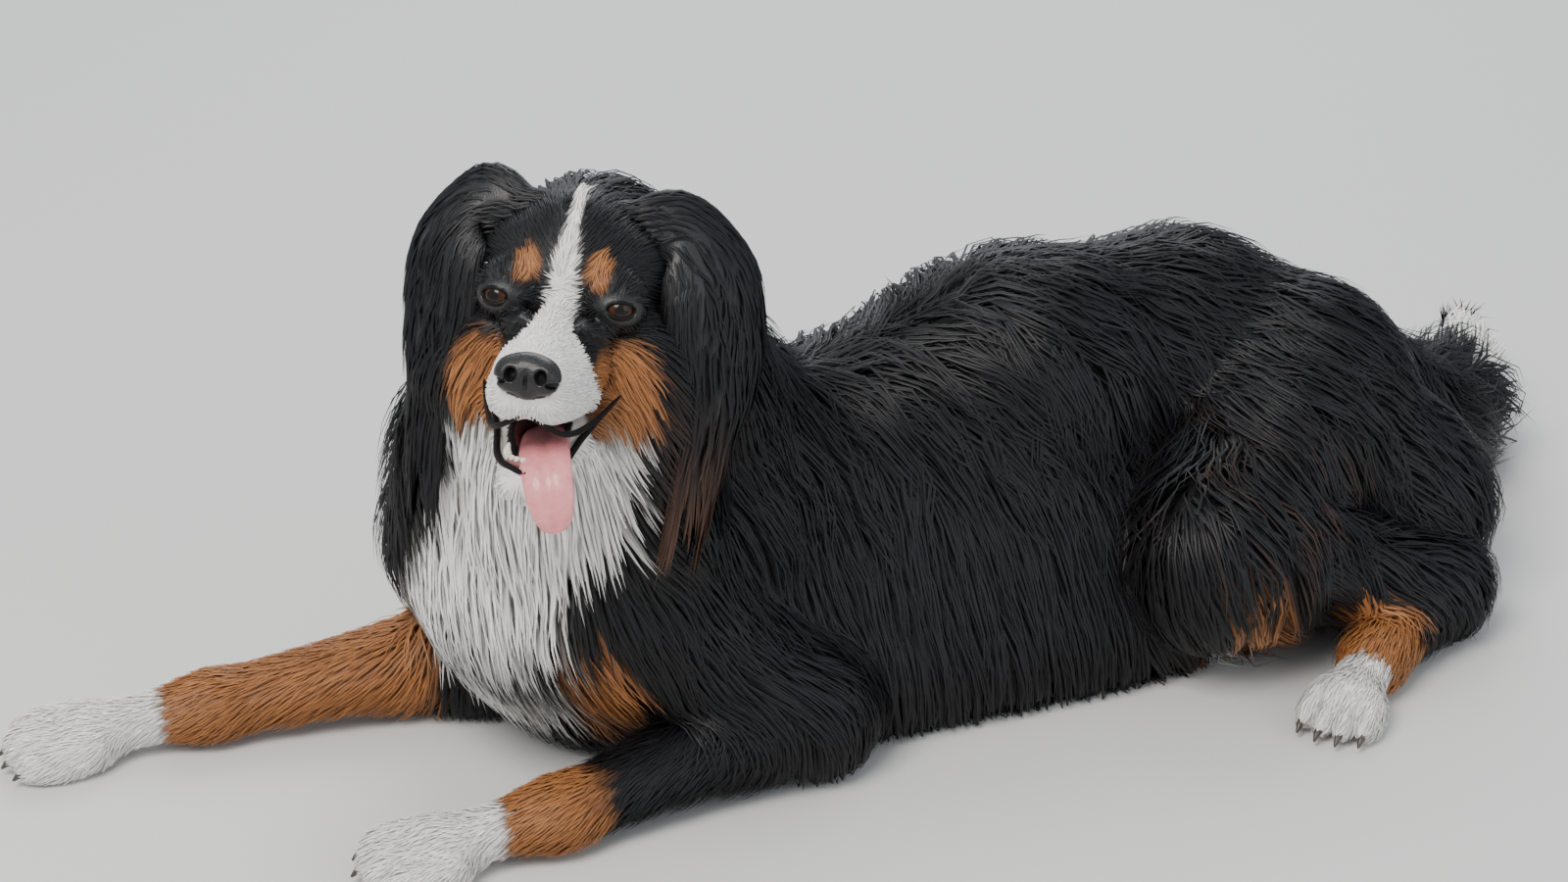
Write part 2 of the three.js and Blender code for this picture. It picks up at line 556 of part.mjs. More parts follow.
const EAR = {
  left: [[-62, 40, 48], [-70, 74, 54], [-72, 99, 24], [-70, 109, -24], [-70, 110, -74], [-72, 106, -112]],
  right: [[-62, -40, 52], [-68, -72, 62], [-66, -94, 32], [-62, -101, -20], [-62, -100, -68], [-62, -98, -98]],
};
const earNormal = (s) => headWay(0.68, s * 0.72, 0.12);
function earSolid(name, grow) {
  const line = spineOf(EAR[name].map((p) => onHead(...p)));
  const shape = { sides: 8, steps: 8, dish: 0.16 };
  return bar(line, [15, 33, 42, 43, 35, 12], [9, 9, 7, 6.5, 6, 4], earNormal(SIDES[name]), shape, grow);
}
function earLocks(name) {
  const line = spineOf(EAR[name].map((p) => onHead(...p)));
  const normal = earNormal(SIDES[name]);
  return [[0.56, 30], [0.68, -24], [0.82, 16], [0.86, -10], [0.94, 4]].map(([t, aside]) => {
    const ahead = line.getTangentAt(t);
    const side = new THREE.Vector3().crossVectors(ahead, normal).normalize();
    const root = line.getPointAt(t).addScaledVector(side, -SIDES[name] * aside);
    const along = ahead.addScaledVector(side, -SIDES[name] * aside * 0.008).normalize();
    const { long, wide, thick } = LOCKS.fringe;
    return { stations: freePath(root, along, normal, long * draw(0.9, 1.1)), wide, thick };
  });
}

// A paw: a pad with four toes set side by side, pointing from the wrist to the tip
const TOES = [-1.5, -0.5, 0.5, 1.5];
const pawFrame = (root, tip, wide, radius) => {
  const ahead = vec(tip).sub(vec(root)).setZ(0);
  const long = ahead.length();
  ahead.normalize();
  return { root: vec(root), ahead, across: new THREE.Vector3().crossVectors(UP, ahead), long, wide, radius };
};
const pawPoint = (paw, forward, side, height) =>
  paw.root.clone().setZ(height).addScaledVector(paw.ahead, forward).addScaledVector(paw.across, side);
const toeSpot = (paw, k, forward, height) =>
  pawPoint(paw, forward - Math.abs(k) * 7, ((k * paw.wide) / 4.2) * (0.72 + forward / paw.long / 3), height);

function pawSolid(paw, grow) {
  const { radius, long, wide } = paw;
  const [near, far] = [-wide * 0.2, wide * 0.2].map((side) => pawPoint(paw, long * 0.6, side, radius * 0.8));
  const pad = flesh([
    bone(paw.root, pawPoint(paw, long * 0.56, 0, radius + 2), radius, radius * 0.95, COVER.paw),
    bone(near, far, radius * 0.85, radius * 0.85, COVER.paw),
  ], LIMB_BLEND);
  const heel = paw.root.clone().addScaledVector(paw.ahead, -6);
  const spine = spineOf([heel, pawPoint(paw, long * 0.35, 0, radius + 2), pawPoint(paw, long * 0.66, 0, radius)]);
  const toes = TOES.map((k) => {
    const high = radius * 0.74;
    const basis = new THREE.Matrix4().makeBasis(paw.ahead, paw.across, UP);
    basis.setPosition(toeSpot(paw, k, long * 0.8, high));
    return egg([long * 0.2 + grow, wide * 0.142 + grow, high * 1.12 + grow], basis, 6, 4);
  });
  return join([wrap(pad, spine, { rings: 7, sides: 9 }, grow), ...toes]);
}

// A claw: a small bent cone under its toe's tip
function clawSolid(paw, k, grow) {
  const from = toeSpot(paw, k, paw.long * 0.93, paw.radius * 0.66);
  const ahead = (step, drop) => from.clone().addScaledVector(paw.ahead, step).setZ(from.z - drop);
  return bar(spineOf([from, ahead(8, 2), ahead(15, 7)]), [4.4, 1], [4.4, 1], UP, { sides: 4, steps: 1 }, grow);
}

const paws = {};
for (const [name, j] of Object.entries(JOINTS)) {
  paws[name] = { fore: pawFrame(j.wrist, j.toe, 88, 21), hind: pawFrame(j.ball, j.hindToe, 70, 19) };
}

// Every piece of the dog in the order in which they give way: a later core is cut clear of the earlier ones
const BLACK = 0x17171a, WHITE = 0xf1eee8, TAN = 0xa2562a;
const PINK = 0xd98a8c, DARK = 0x1c1b1e, BROWN = 0x2c1a10, HORN = 0x3a322c;
const pieces = [];
const piece = (name, colour, roughness, make, { locks = [], cuts = [] } = {}) =>
  pieces.push({ name, colour, roughness, make, locks, cuts });

const neckCut = headWay(1, 0, 0);
piece("nose", DARK, 0.4, noseSolid);
for (const [name, s] of Object.entries(SIDES)) piece(`eye_${name}`, BROWN, 0.1, (grow) => eye(s, grow));
piece("tongue", PINK, 0.35, tongueSolid);
piece("lower_teeth", WHITE, 0.3, teethSolid);
for (const [name, set] of Object.entries(paws)) {
  for (const [end, paw] of Object.entries(set)) {
    TOES.forEach((k, i) => piece(`claw_${end}_${name}_${i + 1}`, HORN, 0.4, (grow) => clawSolid(paw, k, grow)));
  }
}
for (const name of Object.keys(SIDES)) {
  piece(`ear_${name}`, BLACK, 0.8, (grow) => earSolid(name, grow), { locks: earLocks(name) });
}
const skullCut = beyond(onHead(HEAD_CUT, 0, 0), neckCut.clone().negate(), -GAP / 2);
piece("head", BLACK, 0.8, headSolid, { locks: cheekLocks(), cuts: [skullCut] });
piece("lower_jaw", WHITE, 0.8, jawSolid);
for (const name of Object.keys(SIDES)) {
  piece(`forepaw_${name}`, WHITE, 0.85, (grow) => pawSolid(paws[name].fore, grow));
  piece(`hindpaw_${name}`, WHITE, 0.85, (grow) => pawSolid(paws[name].hind, grow));
}
piece("torso", BLACK, 0.85, (grow) => wrap(trunk, trunkSpine, { rings: 16, sides: 18 }, grow), {
  locks: [...torsoLocks, ...breastLocks],
});
piece("neck", BLACK, 0.85,
  (grow) => wrap(either([neck, trunk], BODY_BLEND), neckSpine, { rings: 10, sides: 16, reach: 130 }, grow),
  { locks: neckLocks, cuts: [beyond(onHead(HEAD_CUT, 0, 0), neckCut, -GAP / 2)] });
for (const [name, j] of Object.entries(JOINTS)) {
  const { upperArm, forearm, thigh, shank, pastern } = limb[name];
  const armAndTrunk = either([upperArm, trunk], LIMB_BLEND), thighAndTrunk = either([thigh, trunk], LIMB_BLEND);
  const along = {
    forearm: straight(j.elbow, j.wrist, 0.02, 0.98),
    upperArm: straight(j.shoulder, j.elbow),
    shank: straight(j.knee, j.hock, name === "left" ? 0 : 0.62, 1),
    pastern: straight(j.hock, j.ball),
  };
  piece(`forearm_${name}`, TAN, 0.85, (grow) => wrap(forearm, along.forearm, { rings: 7, sides: 10 }, grow));
  piece(`upper_arm_${name}`, BLACK, 0.85,
    (grow) => wrap(armAndTrunk, along.upperArm, { rings: 8, sides: 11, reach: 100 }, grow),
    { locks: armLocks(name) });
  piece(`thigh_${name}`, BLACK, 0.85,
    (grow) => wrap(thighAndTrunk, thighSpine[name], { rings: 10, sides: 13, reach: 120 }, grow),
    { locks: haunchLocks(name) });
  piece(`shank_${name}`, BLACK, 0.85, (grow) => wrap(shank, along.shank, { rings: 7, sides: 10 }, grow));
  piece(`hind_pastern_${name}`, TAN, 0.85, (grow) => wrap(pastern, along.pastern, { rings: 5, sides: 8 }, grow));
}
const wholeTail = (grow) => wrap(tail, tailCurve, { rings: 15, sides: 9, cap: 0.12 }, grow);
const tailEnds = [0, ...TAIL_CUTS, 1];
["tail_root", "tail_middle", "tail_tip"].forEach((name, i) => {
  const cutAt = (t, way) => beyond(tailCurve.getPointAt(t), tailCurve.getTangentAt(t).multiplyScalar(way), -GAP / 2);
  const cuts = [];
  if (i > 0) cuts.push(cutAt(TAIL_CUTS[i - 1], -1));
  if (i < 2) cuts.push(cutAt(TAIL_CUTS[i], 1));
  const locks = tailLocks(Math.max(tailEnds[i] + 0.05, 0.2), tailEnds[i + 1] - 0.06, 1, 5);
  piece(name, i === 2 ? WHITE : BLACK, 0.85, wholeTail, { locks, cuts });
});

// Cores first, each cut clear of those before it
for (const one of pieces) {
  let core = one.make(0);
  for (const cut of [...one.cuts, underFloor]) core = core.subtract(cut);
  for (const before of pieces.slice(0, pieces.indexOf(one))) {
    if (meets(core, before.grown)) core = core.subtract(before.grown);
  }
  one.core = largest(core);
  one.grown = one.make(0).add(one.make(GAP));
  for (const cut of one.cuts) one.grown = one.grown.subtract(cut);
}

// Then the locks, cut clear of every other core and of the locks before them
for (const one of pieces) {
  one.whole = one.core;
  if (!one.locks.length) continue;
  let locks = join(one.locks.map((lock) => lockSolid(lock)));
  for (const other of pieces) {
    if (other === one || !meets(locks, other.grown)) continue;
    let block = other.grown;
    if (pieces.indexOf(one) < pieces.indexOf(other)) block = block.subtract(one.core);
    locks = locks.subtract(block);
  }
  for (const before of pieces.slice(0, pieces.indexOf(one))) {
    if (before.grownLocks && meets(locks, before.grownLocks)) locks = locks.subtract(before.grownLocks);
  }
  one.grownLocks = join(one.locks.flatMap((lock) => [lockSolid(lock), lockSolid(lock, LOCK_CLEAR)]));
  one.whole = largest(one.core.add(locks).subtract(underFloor));
}

const group = new THREE.Group();
for (const { name, colour, roughness, whole } of pieces) {
  const material = new THREE.MeshStandardMaterial({ color: colour, roughness, metalness: 0 });
  const mesh = new THREE.Mesh(geometryOf(whole), material);
  mesh.name = name;
  group.add(mesh);
}

export default group;
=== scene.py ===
"""A Bernese mountain dog lying on its chest with its head turned to its left, a life-size museum model.

Sizes are in millimetres in the frame of the solids: the dog faces -X, its left side is -Y and +Z is up.
One skin follows the same bones of flesh as the solids, without their coat, and the coat is laid over it in
thin, bent locks that follow the lie of the hair.
"""
from __future__ import annotations

import logging
from dataclasses import dataclass, field
from enum import Enum
from typing import Callable, Sequence

import bpy
import numpy as np
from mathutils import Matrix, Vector
from mathutils.kdtree import KDTree

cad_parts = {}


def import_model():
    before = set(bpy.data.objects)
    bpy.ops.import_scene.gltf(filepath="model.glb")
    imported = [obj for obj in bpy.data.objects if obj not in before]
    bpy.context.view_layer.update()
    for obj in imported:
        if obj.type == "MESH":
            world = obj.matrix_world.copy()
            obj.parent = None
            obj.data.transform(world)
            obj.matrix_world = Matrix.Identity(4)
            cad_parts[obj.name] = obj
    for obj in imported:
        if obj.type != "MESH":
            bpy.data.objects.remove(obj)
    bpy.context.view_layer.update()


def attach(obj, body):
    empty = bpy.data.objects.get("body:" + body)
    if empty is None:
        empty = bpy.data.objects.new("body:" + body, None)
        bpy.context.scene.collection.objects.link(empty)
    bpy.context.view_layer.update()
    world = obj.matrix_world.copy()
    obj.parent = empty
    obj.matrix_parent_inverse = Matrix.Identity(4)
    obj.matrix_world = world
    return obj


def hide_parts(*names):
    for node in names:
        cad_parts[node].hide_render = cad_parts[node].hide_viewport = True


log = logging.getLogger("dog")
Array = np.ndarray
MM = 0.001
SEED = 20240611
SIDES = {"left": 1, "right": -1}


def unit(v: Array) -> Array:
    """Vectors scaled to length one."""
    return v / np.maximum(np.linalg.norm(v, axis=-1, keepdims=True), 1e-9)


def smooth(x: Array, low: float, high: float) -> Array:
    """A soft step from 0 at low to 1 at high."""
    t = np.clip((x - low) / (high - low), 0, 1)
    return t * t * (3 - 2 * t)


def ripple(p: Array, scale: float, kind: int) -> Array:
    """A smooth random wave through space.

    Args:
        p: Points.
        scale: Length of the wave.
        kind: Which of the seeded waves.

    Returns:
        A value from -1 to 1 at each point.
    """
    rng = np.random.default_rng(SEED + kind)
    total = np.zeros(len(p))
    for size in (1.0, 0.63, 0.41):
        way = unit(rng.normal(size=(1, 3)))[0]
        turn = unit(np.cross(way, rng.normal(size=3)))
        bend = np.sin(p @ turn / (scale * size) * 4.1 + rng.uniform(0, 6.3))
        total += size * np.sin(p @ way / (scale * size) * 6.28 + 1.7 * bend + rng.uniform(0, 6.3))
    return total / 2.04


@dataclass(frozen=True)
class Frame:
    """A place and three unit axes."""

    origin: Array
    axes: Array

    def out(self, p: Sequence) -> Array:
        """Points of this frame in the dog's frame."""
        return self.origin + np.asarray(p, float) @ self.axes

    def into(self, p: Array) -> Array:
        """Points of the dog's frame in this one."""
        return (p - self.origin) @ self.axes.T

    def way(self, *v: float) -> Array:
        """A unit direction given in this frame."""
        return unit(np.array(v, float) @ self.axes)


def head_frame(turn: float = 60, lift: float = 15, tilt: float = 4.5) -> Frame:
    """The head's frame: x along the muzzle, y to the dog's left, z to the crown, from between the eyes.

    Args:
        turn: Degrees to the dog's left.
        lift: Degrees of the muzzle above level.
        tilt: Degrees, crown towards the dog's left.

    Returns:
        The frame.
    """
    turn, lift, tilt = np.radians([turn, lift, tilt])
    ahead = np.array([-np.cos(turn) * np.cos(lift), -np.sin(turn) * np.cos(lift), np.sin(lift)])
    left = unit(np.cross([0, 0, 1.0], ahead))
    left = left * np.cos(tilt) - np.cross(ahead, left) * np.sin(tilt)
    return Frame(np.array([-425.0, -190.0, 439.0]), np.array([ahead, left, np.cross(ahead, left)]))


WORLD = Frame(np.zeros(3), np.eye(3))
HEAD = head_frame()


def blended(near: Array, far: Array, blend: float) -> Array:
    """Two distances run into one with a soft crease."""
    overlap = np.maximum(blend - np.abs(near - far), 0) / blend
    return np.minimum(near, far) - overlap * overlap * blend / 4


class Form:
    """Anything solid: a signed distance, below zero inside."""

    def distance(self, p: Array) -> Array:
        """How far each point lies outside the form."""
        raise NotImplementedError

    def near(self, p: Array) -> Array:
        """The same, worked out in runs of points so that far bones are skipped."""
        runs = [self.distance(p[i : i + 6000]) for i in range(0, len(p), 6000)]
        return np.concatenate(runs) if runs else np.zeros(0)

    def slope(self, p: Array, step: float = 0.8) -> Array:
        """The unit direction out of the form at each point."""
        corners = np.array([[1, -1, -1], [-1, -1, 1], [-1, 1, -1], [1, 1, 1]], float)
        return unit(sum(corner * self.near(p + corner * step)[:, None] for corner in corners))

    def settle(self, p: Array, turns: int = 2) -> Array:
        """Points moved onto the form's surface.

        Args:
            p: Points in the dog's frame.
            turns: How many times they are moved.

        Returns:
            The moved points.
        """
        for _ in range(turns):
            p = p - self.slope(p) * np.clip(self.near(p), -12, 12)[:, None]
        return p


@dataclass
class Bones(Form):
    """Tapered rods with round ends: each has two ends and two radii."""

    rods: list[tuple]
    blend: float

    def distance(self, p: Array) -> Array:
        """Distance from each point to the surface.

        Args:
            p: Points in the dog's frame.

        Returns:
            The distances, less than 0 inside.
        """
        total = np.full(len(p), 1000.0)
        if not len(p):
            return total
        low, high = p.min(0), p.max(0)
        for a, b, ra, rb in self.rods:
            a, b = np.asarray(a, float), np.asarray(b, float)
            reach = max(ra, rb) + self.blend + 40
            if (np.minimum(a, b) - reach > high).any() or (np.maximum(a, b) + reach < low).any():
                continue
            ab = b - a
            t = np.clip((p - a) @ ab / max(ab @ ab, 1e-6), 0, 1)
            gap = np.linalg.norm(p - a - t[:, None] * ab, axis=1) - (ra + (rb - ra) * t)
            total = blended(total, gap, self.blend)
        return total


@dataclass
class Egg(Form):
    """An ellipsoid in a frame."""

    frame: Frame
    radii: Sequence[float]

    def distance(self, p: Array) -> Array:
        """Distance from each point to the surface.

        Args:
            p: Points in the dog's frame.

        Returns:
            The distances, less than 0 inside.
        """
        q = self.frame.into(p)
        radii = np.asarray(self.radii, float)
        k0 = np.linalg.norm(q / radii, axis=1)
        k1 = np.linalg.norm(q / radii**2, axis=1)
        return k0 * (k0 - 1) / np.maximum(k1, 1e-6)


@dataclass
class Joined(Form):
    """Forms that run into each other, with others cut away from them."""

    forms: list[Form]
    blend: float
    cuts: list[Form] = field(default_factory=list)
    cut_edge: float = 2.0

    def distance(self, p: Array) -> Array:
        """Distance from each point to the surface.

        Args:
            p: Points in the dog's frame.

        Returns:
            The distances, less than 0 inside.
        """
        total = np.full(len(p), 1000.0)
        for form in self.forms:
            total = blended(total, form.distance(p), self.blend)
        for cut in self.cuts:
            total = -blended(-total, cut.distance(p), self.cut_edge)
        return total


@dataclass
class Ground(Form):
    """Everything under the dog."""

    height: float = 1.0

    def distance(self, p: Array) -> Array:
        """Distance from each point to the surface."""
        return p[:, 2] - self.height


class Curve:
    """A smooth line through points, by its share of length."""

    def __init__(self, points: Sequence, count: int = 40) -> None:
        """Lays the line through its points.

        Args:
            points: The points.
            count: Steps between two.
        """
        pts = np.asarray(points, float)
        pts = np.vstack([2 * pts[0] - pts[1], pts, 2 * pts[-1] - pts[-2]])
        path = []
        for i in range(len(pts) - 3):
            p = pts[i : i + 4]
            t = np.concatenate([[0], np.cumsum(np.linalg.norm(np.diff(p, axis=0), axis=1) ** 0.5)])
            x = np.linspace(t[1], t[2], count, endpoint=i == len(pts) - 4)[:, None]
            a = [((t[k + 1] - x) * p[k] + (x - t[k]) * p[k + 1]) / (t[k + 1] - t[k]) for k in range(3)]
            b = [((t[k + 2] - x) * a[k] + (x - t[k]) * a[k + 1]) / (t[k + 2] - t[k]) for k in range(2)]
            path.append(((t[2] - x) * b[0] + (x - t[1]) * b[1]) / (t[2] - t[1]))
        self.path = np.vstack(path)
        steps = np.linalg.norm(np.diff(self.path, axis=0), axis=1)
        self.long = float(steps.sum())
        self.share = np.concatenate([[0], np.cumsum(steps)]) / self.long

    def point(self, t: Array) -> Array:
        """Places at shares of the length, run on straight past the ends.

        Args:
            t: Shares of the length.

        Returns:
            The places.
        """
        inside = np.clip(t, 0, 1)
        at = np.stack([np.interp(inside, self.share, self.path[:, k]) for k in range(3)], axis=-1)
        return at + (t - inside)[..., None] * self.long * self.tangent(t)

    def tangent(self, t: Array) -> Array:
        """Unit directions along the line.

        Args:
            t: Shares of the length.

        Returns:
            The directions.
        """
        t = np.clip(t, 0.01, 0.99)
        ahead, back = np.clip(t + 0.01, 0, 1), np.clip(t - 0.01, 0, 1)
        ends = [
            np.stack([np.interp(share, self.share, self.path[:, k]) for k in range(3)], axis=-1)
            for share in (back, ahead)
        ]
        return unit(ends[1] - ends[0])

    def nearest(self, p: Array, count: int = 60) -> Array:
        """The share of length nearest to each point.

        Args:
            p: Points in the dog's frame.
            count: How many places of the line are tried.

        Returns:
            A share for each point.
        """
        shares = np.linspace(0, 1, count)
        marks = self.point(shares)
        best, gap = np.zeros(len(p)), np.full(len(p), 1e9)
        for share, mark in zip(shares, marks):
            away = np.linalg.norm(p - mark, axis=1)
            best, gap = np.where(away < gap, share, best), np.minimum(away, gap)
        return best


def add_mesh(name: str, verts: Array, faces: Array, smooth_shade: bool = True) -> bpy.types.Object:
    """A mesh object from points in millimetres and faces of one size, in the dog's frame.

    Args:
        name: Name of the piece.
        verts: Points.
        faces: Rows of point numbers.
        smooth_shade: Whether its faces shade into each other.

    Returns:
        The new object, riding on the dog's one body.
    """
    mesh = bpy.data.meshes.new(name)
    mesh.vertices.add(len(verts))
    mesh.vertices.foreach_set("co", (np.asarray(verts) * MM).astype(np.float32).ravel())
    if isinstance(faces, list):
        sizes = np.array([len(face) for face in faces])
    else:
        sizes = np.full(len(faces), faces.shape[1])
    corners = np.concatenate(faces) if isinstance(faces, list) else faces.ravel()
    mesh.loops.add(len(corners))
    mesh.loops.foreach_set("vertex_index", corners.astype(np.int32))
    mesh.polygons.add(len(sizes))
    mesh.polygons.foreach_set("loop_start", (np.cumsum(sizes) - sizes).astype(np.int32))
    mesh.polygons.foreach_set("loop_total", sizes.astype(np.int32))
    mesh.polygons.foreach_set("use_smooth", np.full(len(sizes), smooth_shade))
    mesh.update(calc_edges=True)
    thing = bpy.data.objects.new(name, mesh)
    bpy.context.scene.collection.objects.link(thing)
    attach(thing, "root")
    return thing


def add_values(thing: bpy.types.Object, name: str, values: Array) -> None:
    """Stores one row of numbers on each point of a piece, for its material to read.

    Args:
        thing: The piece.
        name: The attribute's name.
        values: Up to three numbers for each point.
    """
    rows = np.zeros((len(values), 4), np.float32)
    rows[:, : values.shape[1]] = values
    store = thing.data.attributes.new(name, "FLOAT_COLOR", "POINT")
    store.data.foreach_set("color", rows.ravel())


@dataclass
class Patch:
    """A box of space in which a form's surface is meshed at one fineness."""

    frame: Frame
    low: Sequence[float]
    high: Sequence[float]
    step: float

    def holds(self, p: Array, margin: float) -> Array:
        """Which points lie in the box by at least a margin."""
        q = self.frame.into(p)
        return ((q > np.array(self.low) + margin) & (q < np.array(self.high) - margin)).all(1)

    def mesh(self, form: Form) -> tuple[Array, Array]:
        """The form's surface in the box, as points and four-sided faces.

        Args:
            form: The form to be meshed.

        Returns:
            Points and faces.
        """
        low = np.asarray(self.low, float)
        counts = np.ceil((np.asarray(self.high) - low) / self.step).astype(int) + 1
        field_values = self._values(form, low, counts)
        inside = field_values < 0
        cells = tuple(counts - 1)
        total = np.zeros(cells, np.int8)
        corners = [(i, j, k) for i in (0, 1) for j in (0, 1) for k in (0, 1)]
        for i, j, k in corners:
            total += inside[i : i + cells[0], j : j + cells[1], k : k + cells[2]]
        mixed = np.argwhere((total > 0) & (total < 8))
        number = np.full(cells, -1, np.int64)
        number[tuple(mixed.T)] = np.arange(len(mixed))
        spot, hits = np.zeros((len(mixed), 3)), np.zeros(len(mixed))
        for a in corners:
            for axis in range(3):
                if a[axis]:
                    continue
                b = tuple(1 if k == axis else a[k] for k in range(3))
                va = field_values[tuple((mixed + a).T)]
                vb = field_values[tuple((mixed + b).T)]
                cross = (va < 0) != (vb < 0)
                t = np.where(cross, va / np.where(cross, va - vb, 1), 0)
                spot[cross] += (np.array(a) + t[:, None] * (np.array(b) - np.array(a)))[cross]
                hits += cross
        verts = self.frame.out(low + (mixed + spot / hits[:, None]) * self.step)
        faces = [self._faces(inside, number, axis) for axis in range(3)]
        return form.settle(verts), np.vstack(faces)

    def _values(self, form: Form, low: Array, counts: Array) -> Array:
        """The form's distance at the grid's corners, exact near its surface only.

        Args:
            form: The form.
            low: The box's lowest corner.
            counts: Corners along each axis.

        Returns:
            The distances.
        """
        coarse = 4
        blocks = np.stack(np.meshgrid(*[np.arange(-(-n // coarse)) for n in counts], indexing="ij"), -1)
        centres = low + (blocks.reshape(-1, 3) * coarse + (coarse - 1) / 2) * self.step
        rough = form.near(self.frame.out(centres))
        close = np.abs(rough) < coarse * self.step * 1.35 + 4
        values = np.where(rough < 0, -1.0, 1.0).reshape(blocks.shape[:3])
        for axis in range(3):
            values = values.repeat(coarse, axis)
        values = values[: counts[0], : counts[1], : counts[2]]
        local = np.stack(np.meshgrid(*[np.arange(coarse)] * 3, indexing="ij"), -1).reshape(-1, 3)
        index = (blocks.reshape(-1, 3)[close] * coarse)[:, None, :] + local
        index = index.reshape(-1, 3)
        index = index[(index < counts).all(1)]
        values[tuple(index.T)] = form.near(self.frame.out(low + index * self.step))
        return values

    @staticmethod
    def _faces(inside: Array, number: Array, axis: int) -> Array:
        """Faces across the grid's edges along one axis.

        Args:
            inside: Which corners are inside.
            number: The point's number in each cell.
            axis: The axis of the edges.

        Returns:
            The faces by their points' numbers.
        """
        a, b = [k for k in range(3) if k != axis]
        ahead = np.moveaxis(inside, [axis, a, b], [0, 1, 2])
        grid = np.moveaxis(number, [axis, a, b], [0, 1, 2])
        here, there = ahead[:-1, 1:-1, 1:-1], ahead[1:, 1:-1, 1:-1]
        i, j, k = np.nonzero(here != there)
        quad = np.stack([grid[i, j, k], grid[i, j + 1, k], grid[i, j + 1, k + 1], grid[i, j, k + 1]], 1)
        flip = here[i, j, k] != (axis == 1)
        quad[~flip] = quad[~flip][:, ::-1]
        return quad[(quad >= 0).all(1)]


@dataclass
class Sweep:
    """A bar bent along a line: an oval section with half widths, half thicknesses and a flat side."""

    line: Curve
    wides: Sequence[float]
    thicks: Sequence[float]
    flat_side: Array
    dish: float = 0.0
    groove: float = 0.0
    sides: int = 24
    steps: int = 32

    def at(self, t: Array, around: Array, height: Array | float = 0.0) -> Array:
        """Places on the bar.

        Args:
            t: Share of the length.
            around: Angle about the line.
            height: How far over the surface.

        Returns:
            Points in the dog's frame.
        """
        _, side, face = self.axes(t)
        knots = np.linspace(0, 1, len(self.wides))
        inside = np.clip(t, 0, 1)
        round_end = np.sqrt(np.clip(1 - (np.abs(inside - 0.5) * 2) ** 14, 0, 1))
        wide = np.interp(inside, knots, self.wides) * round_end
        thick = np.interp(inside, knots, self.thicks) * round_end
        x, z = np.sin(around), np.cos(around)
        crease = self.groove * np.exp(-((x / 0.22) ** 2)) * (z > 0) * round_end
        out = (z * (thick + height) - x * x * wide * self.dish - crease)[..., None] * face
        return self.line.point(t) + (x * (wide + height))[..., None] * side + out

    def axes(self, t: Array) -> tuple[Array, Array, Array]:
        """Directions along the line, across it, and out of its flat side.

        Args:
            t: Shares of the length.

        Returns:
            The three directions for each share.
        """
        ahead = self.line.tangent(t)
        side = unit(np.cross(ahead, self.flat_side))
        return ahead, side, np.cross(side, ahead)

    def mesh(self) -> tuple[Array, Array]:
        """The bar's points and faces, closed at its ends.

        Returns:
            Points and faces.
        """
        turns = np.arange(self.sides) / self.sides * 2 * np.pi
        t, around = np.meshgrid(np.linspace(0, 1, self.steps + 1), turns, indexing="ij")
        verts = self.at(t.ravel(), around.ravel())
        i, j = np.meshgrid(np.arange(self.steps), np.arange(self.sides), indexing="ij")
        k = (j + 1) % self.sides
        corners = [i * self.sides + j, i * self.sides + k, (i + 1) * self.sides + k, (i + 1) * self.sides + j]
        return verts, np.stack([c.ravel() for c in corners], 1)


@dataclass(frozen=True)
class Joints:
    """Places of one side's limb joints."""

    shoulder: tuple
    elbow: tuple
    wrist: tuple
    toe: tuple
    hip: tuple
    knee: tuple
    hock: tuple
    ball: tuple
    hind_toe: tuple


JOINTS = {
    "left": Joints(
        shoulder=(-362, -114, 150), elbow=(-222, -166, 50), wrist=(-444, -203, 29), toe=(-602, -200, 0),
        hip=(285, -48, 184), knee=(140, -170, 116), hock=(360, -186, 46), ball=(256, -246, 26),
        hind_toe=(168, -314, 0),
    ),
    "right": Joints(
        shoulder=(-345, 62, 160), elbow=(-425, 42, 46), wrist=(-640, 64, 29), toe=(-806, 84, 0),
        hip=(300, 84, 104), knee=(165, 88, 62), hock=(292, -88, 40), ball=(232, -120, 26),
        hind_toe=(160, -128, 0),
    ),
}


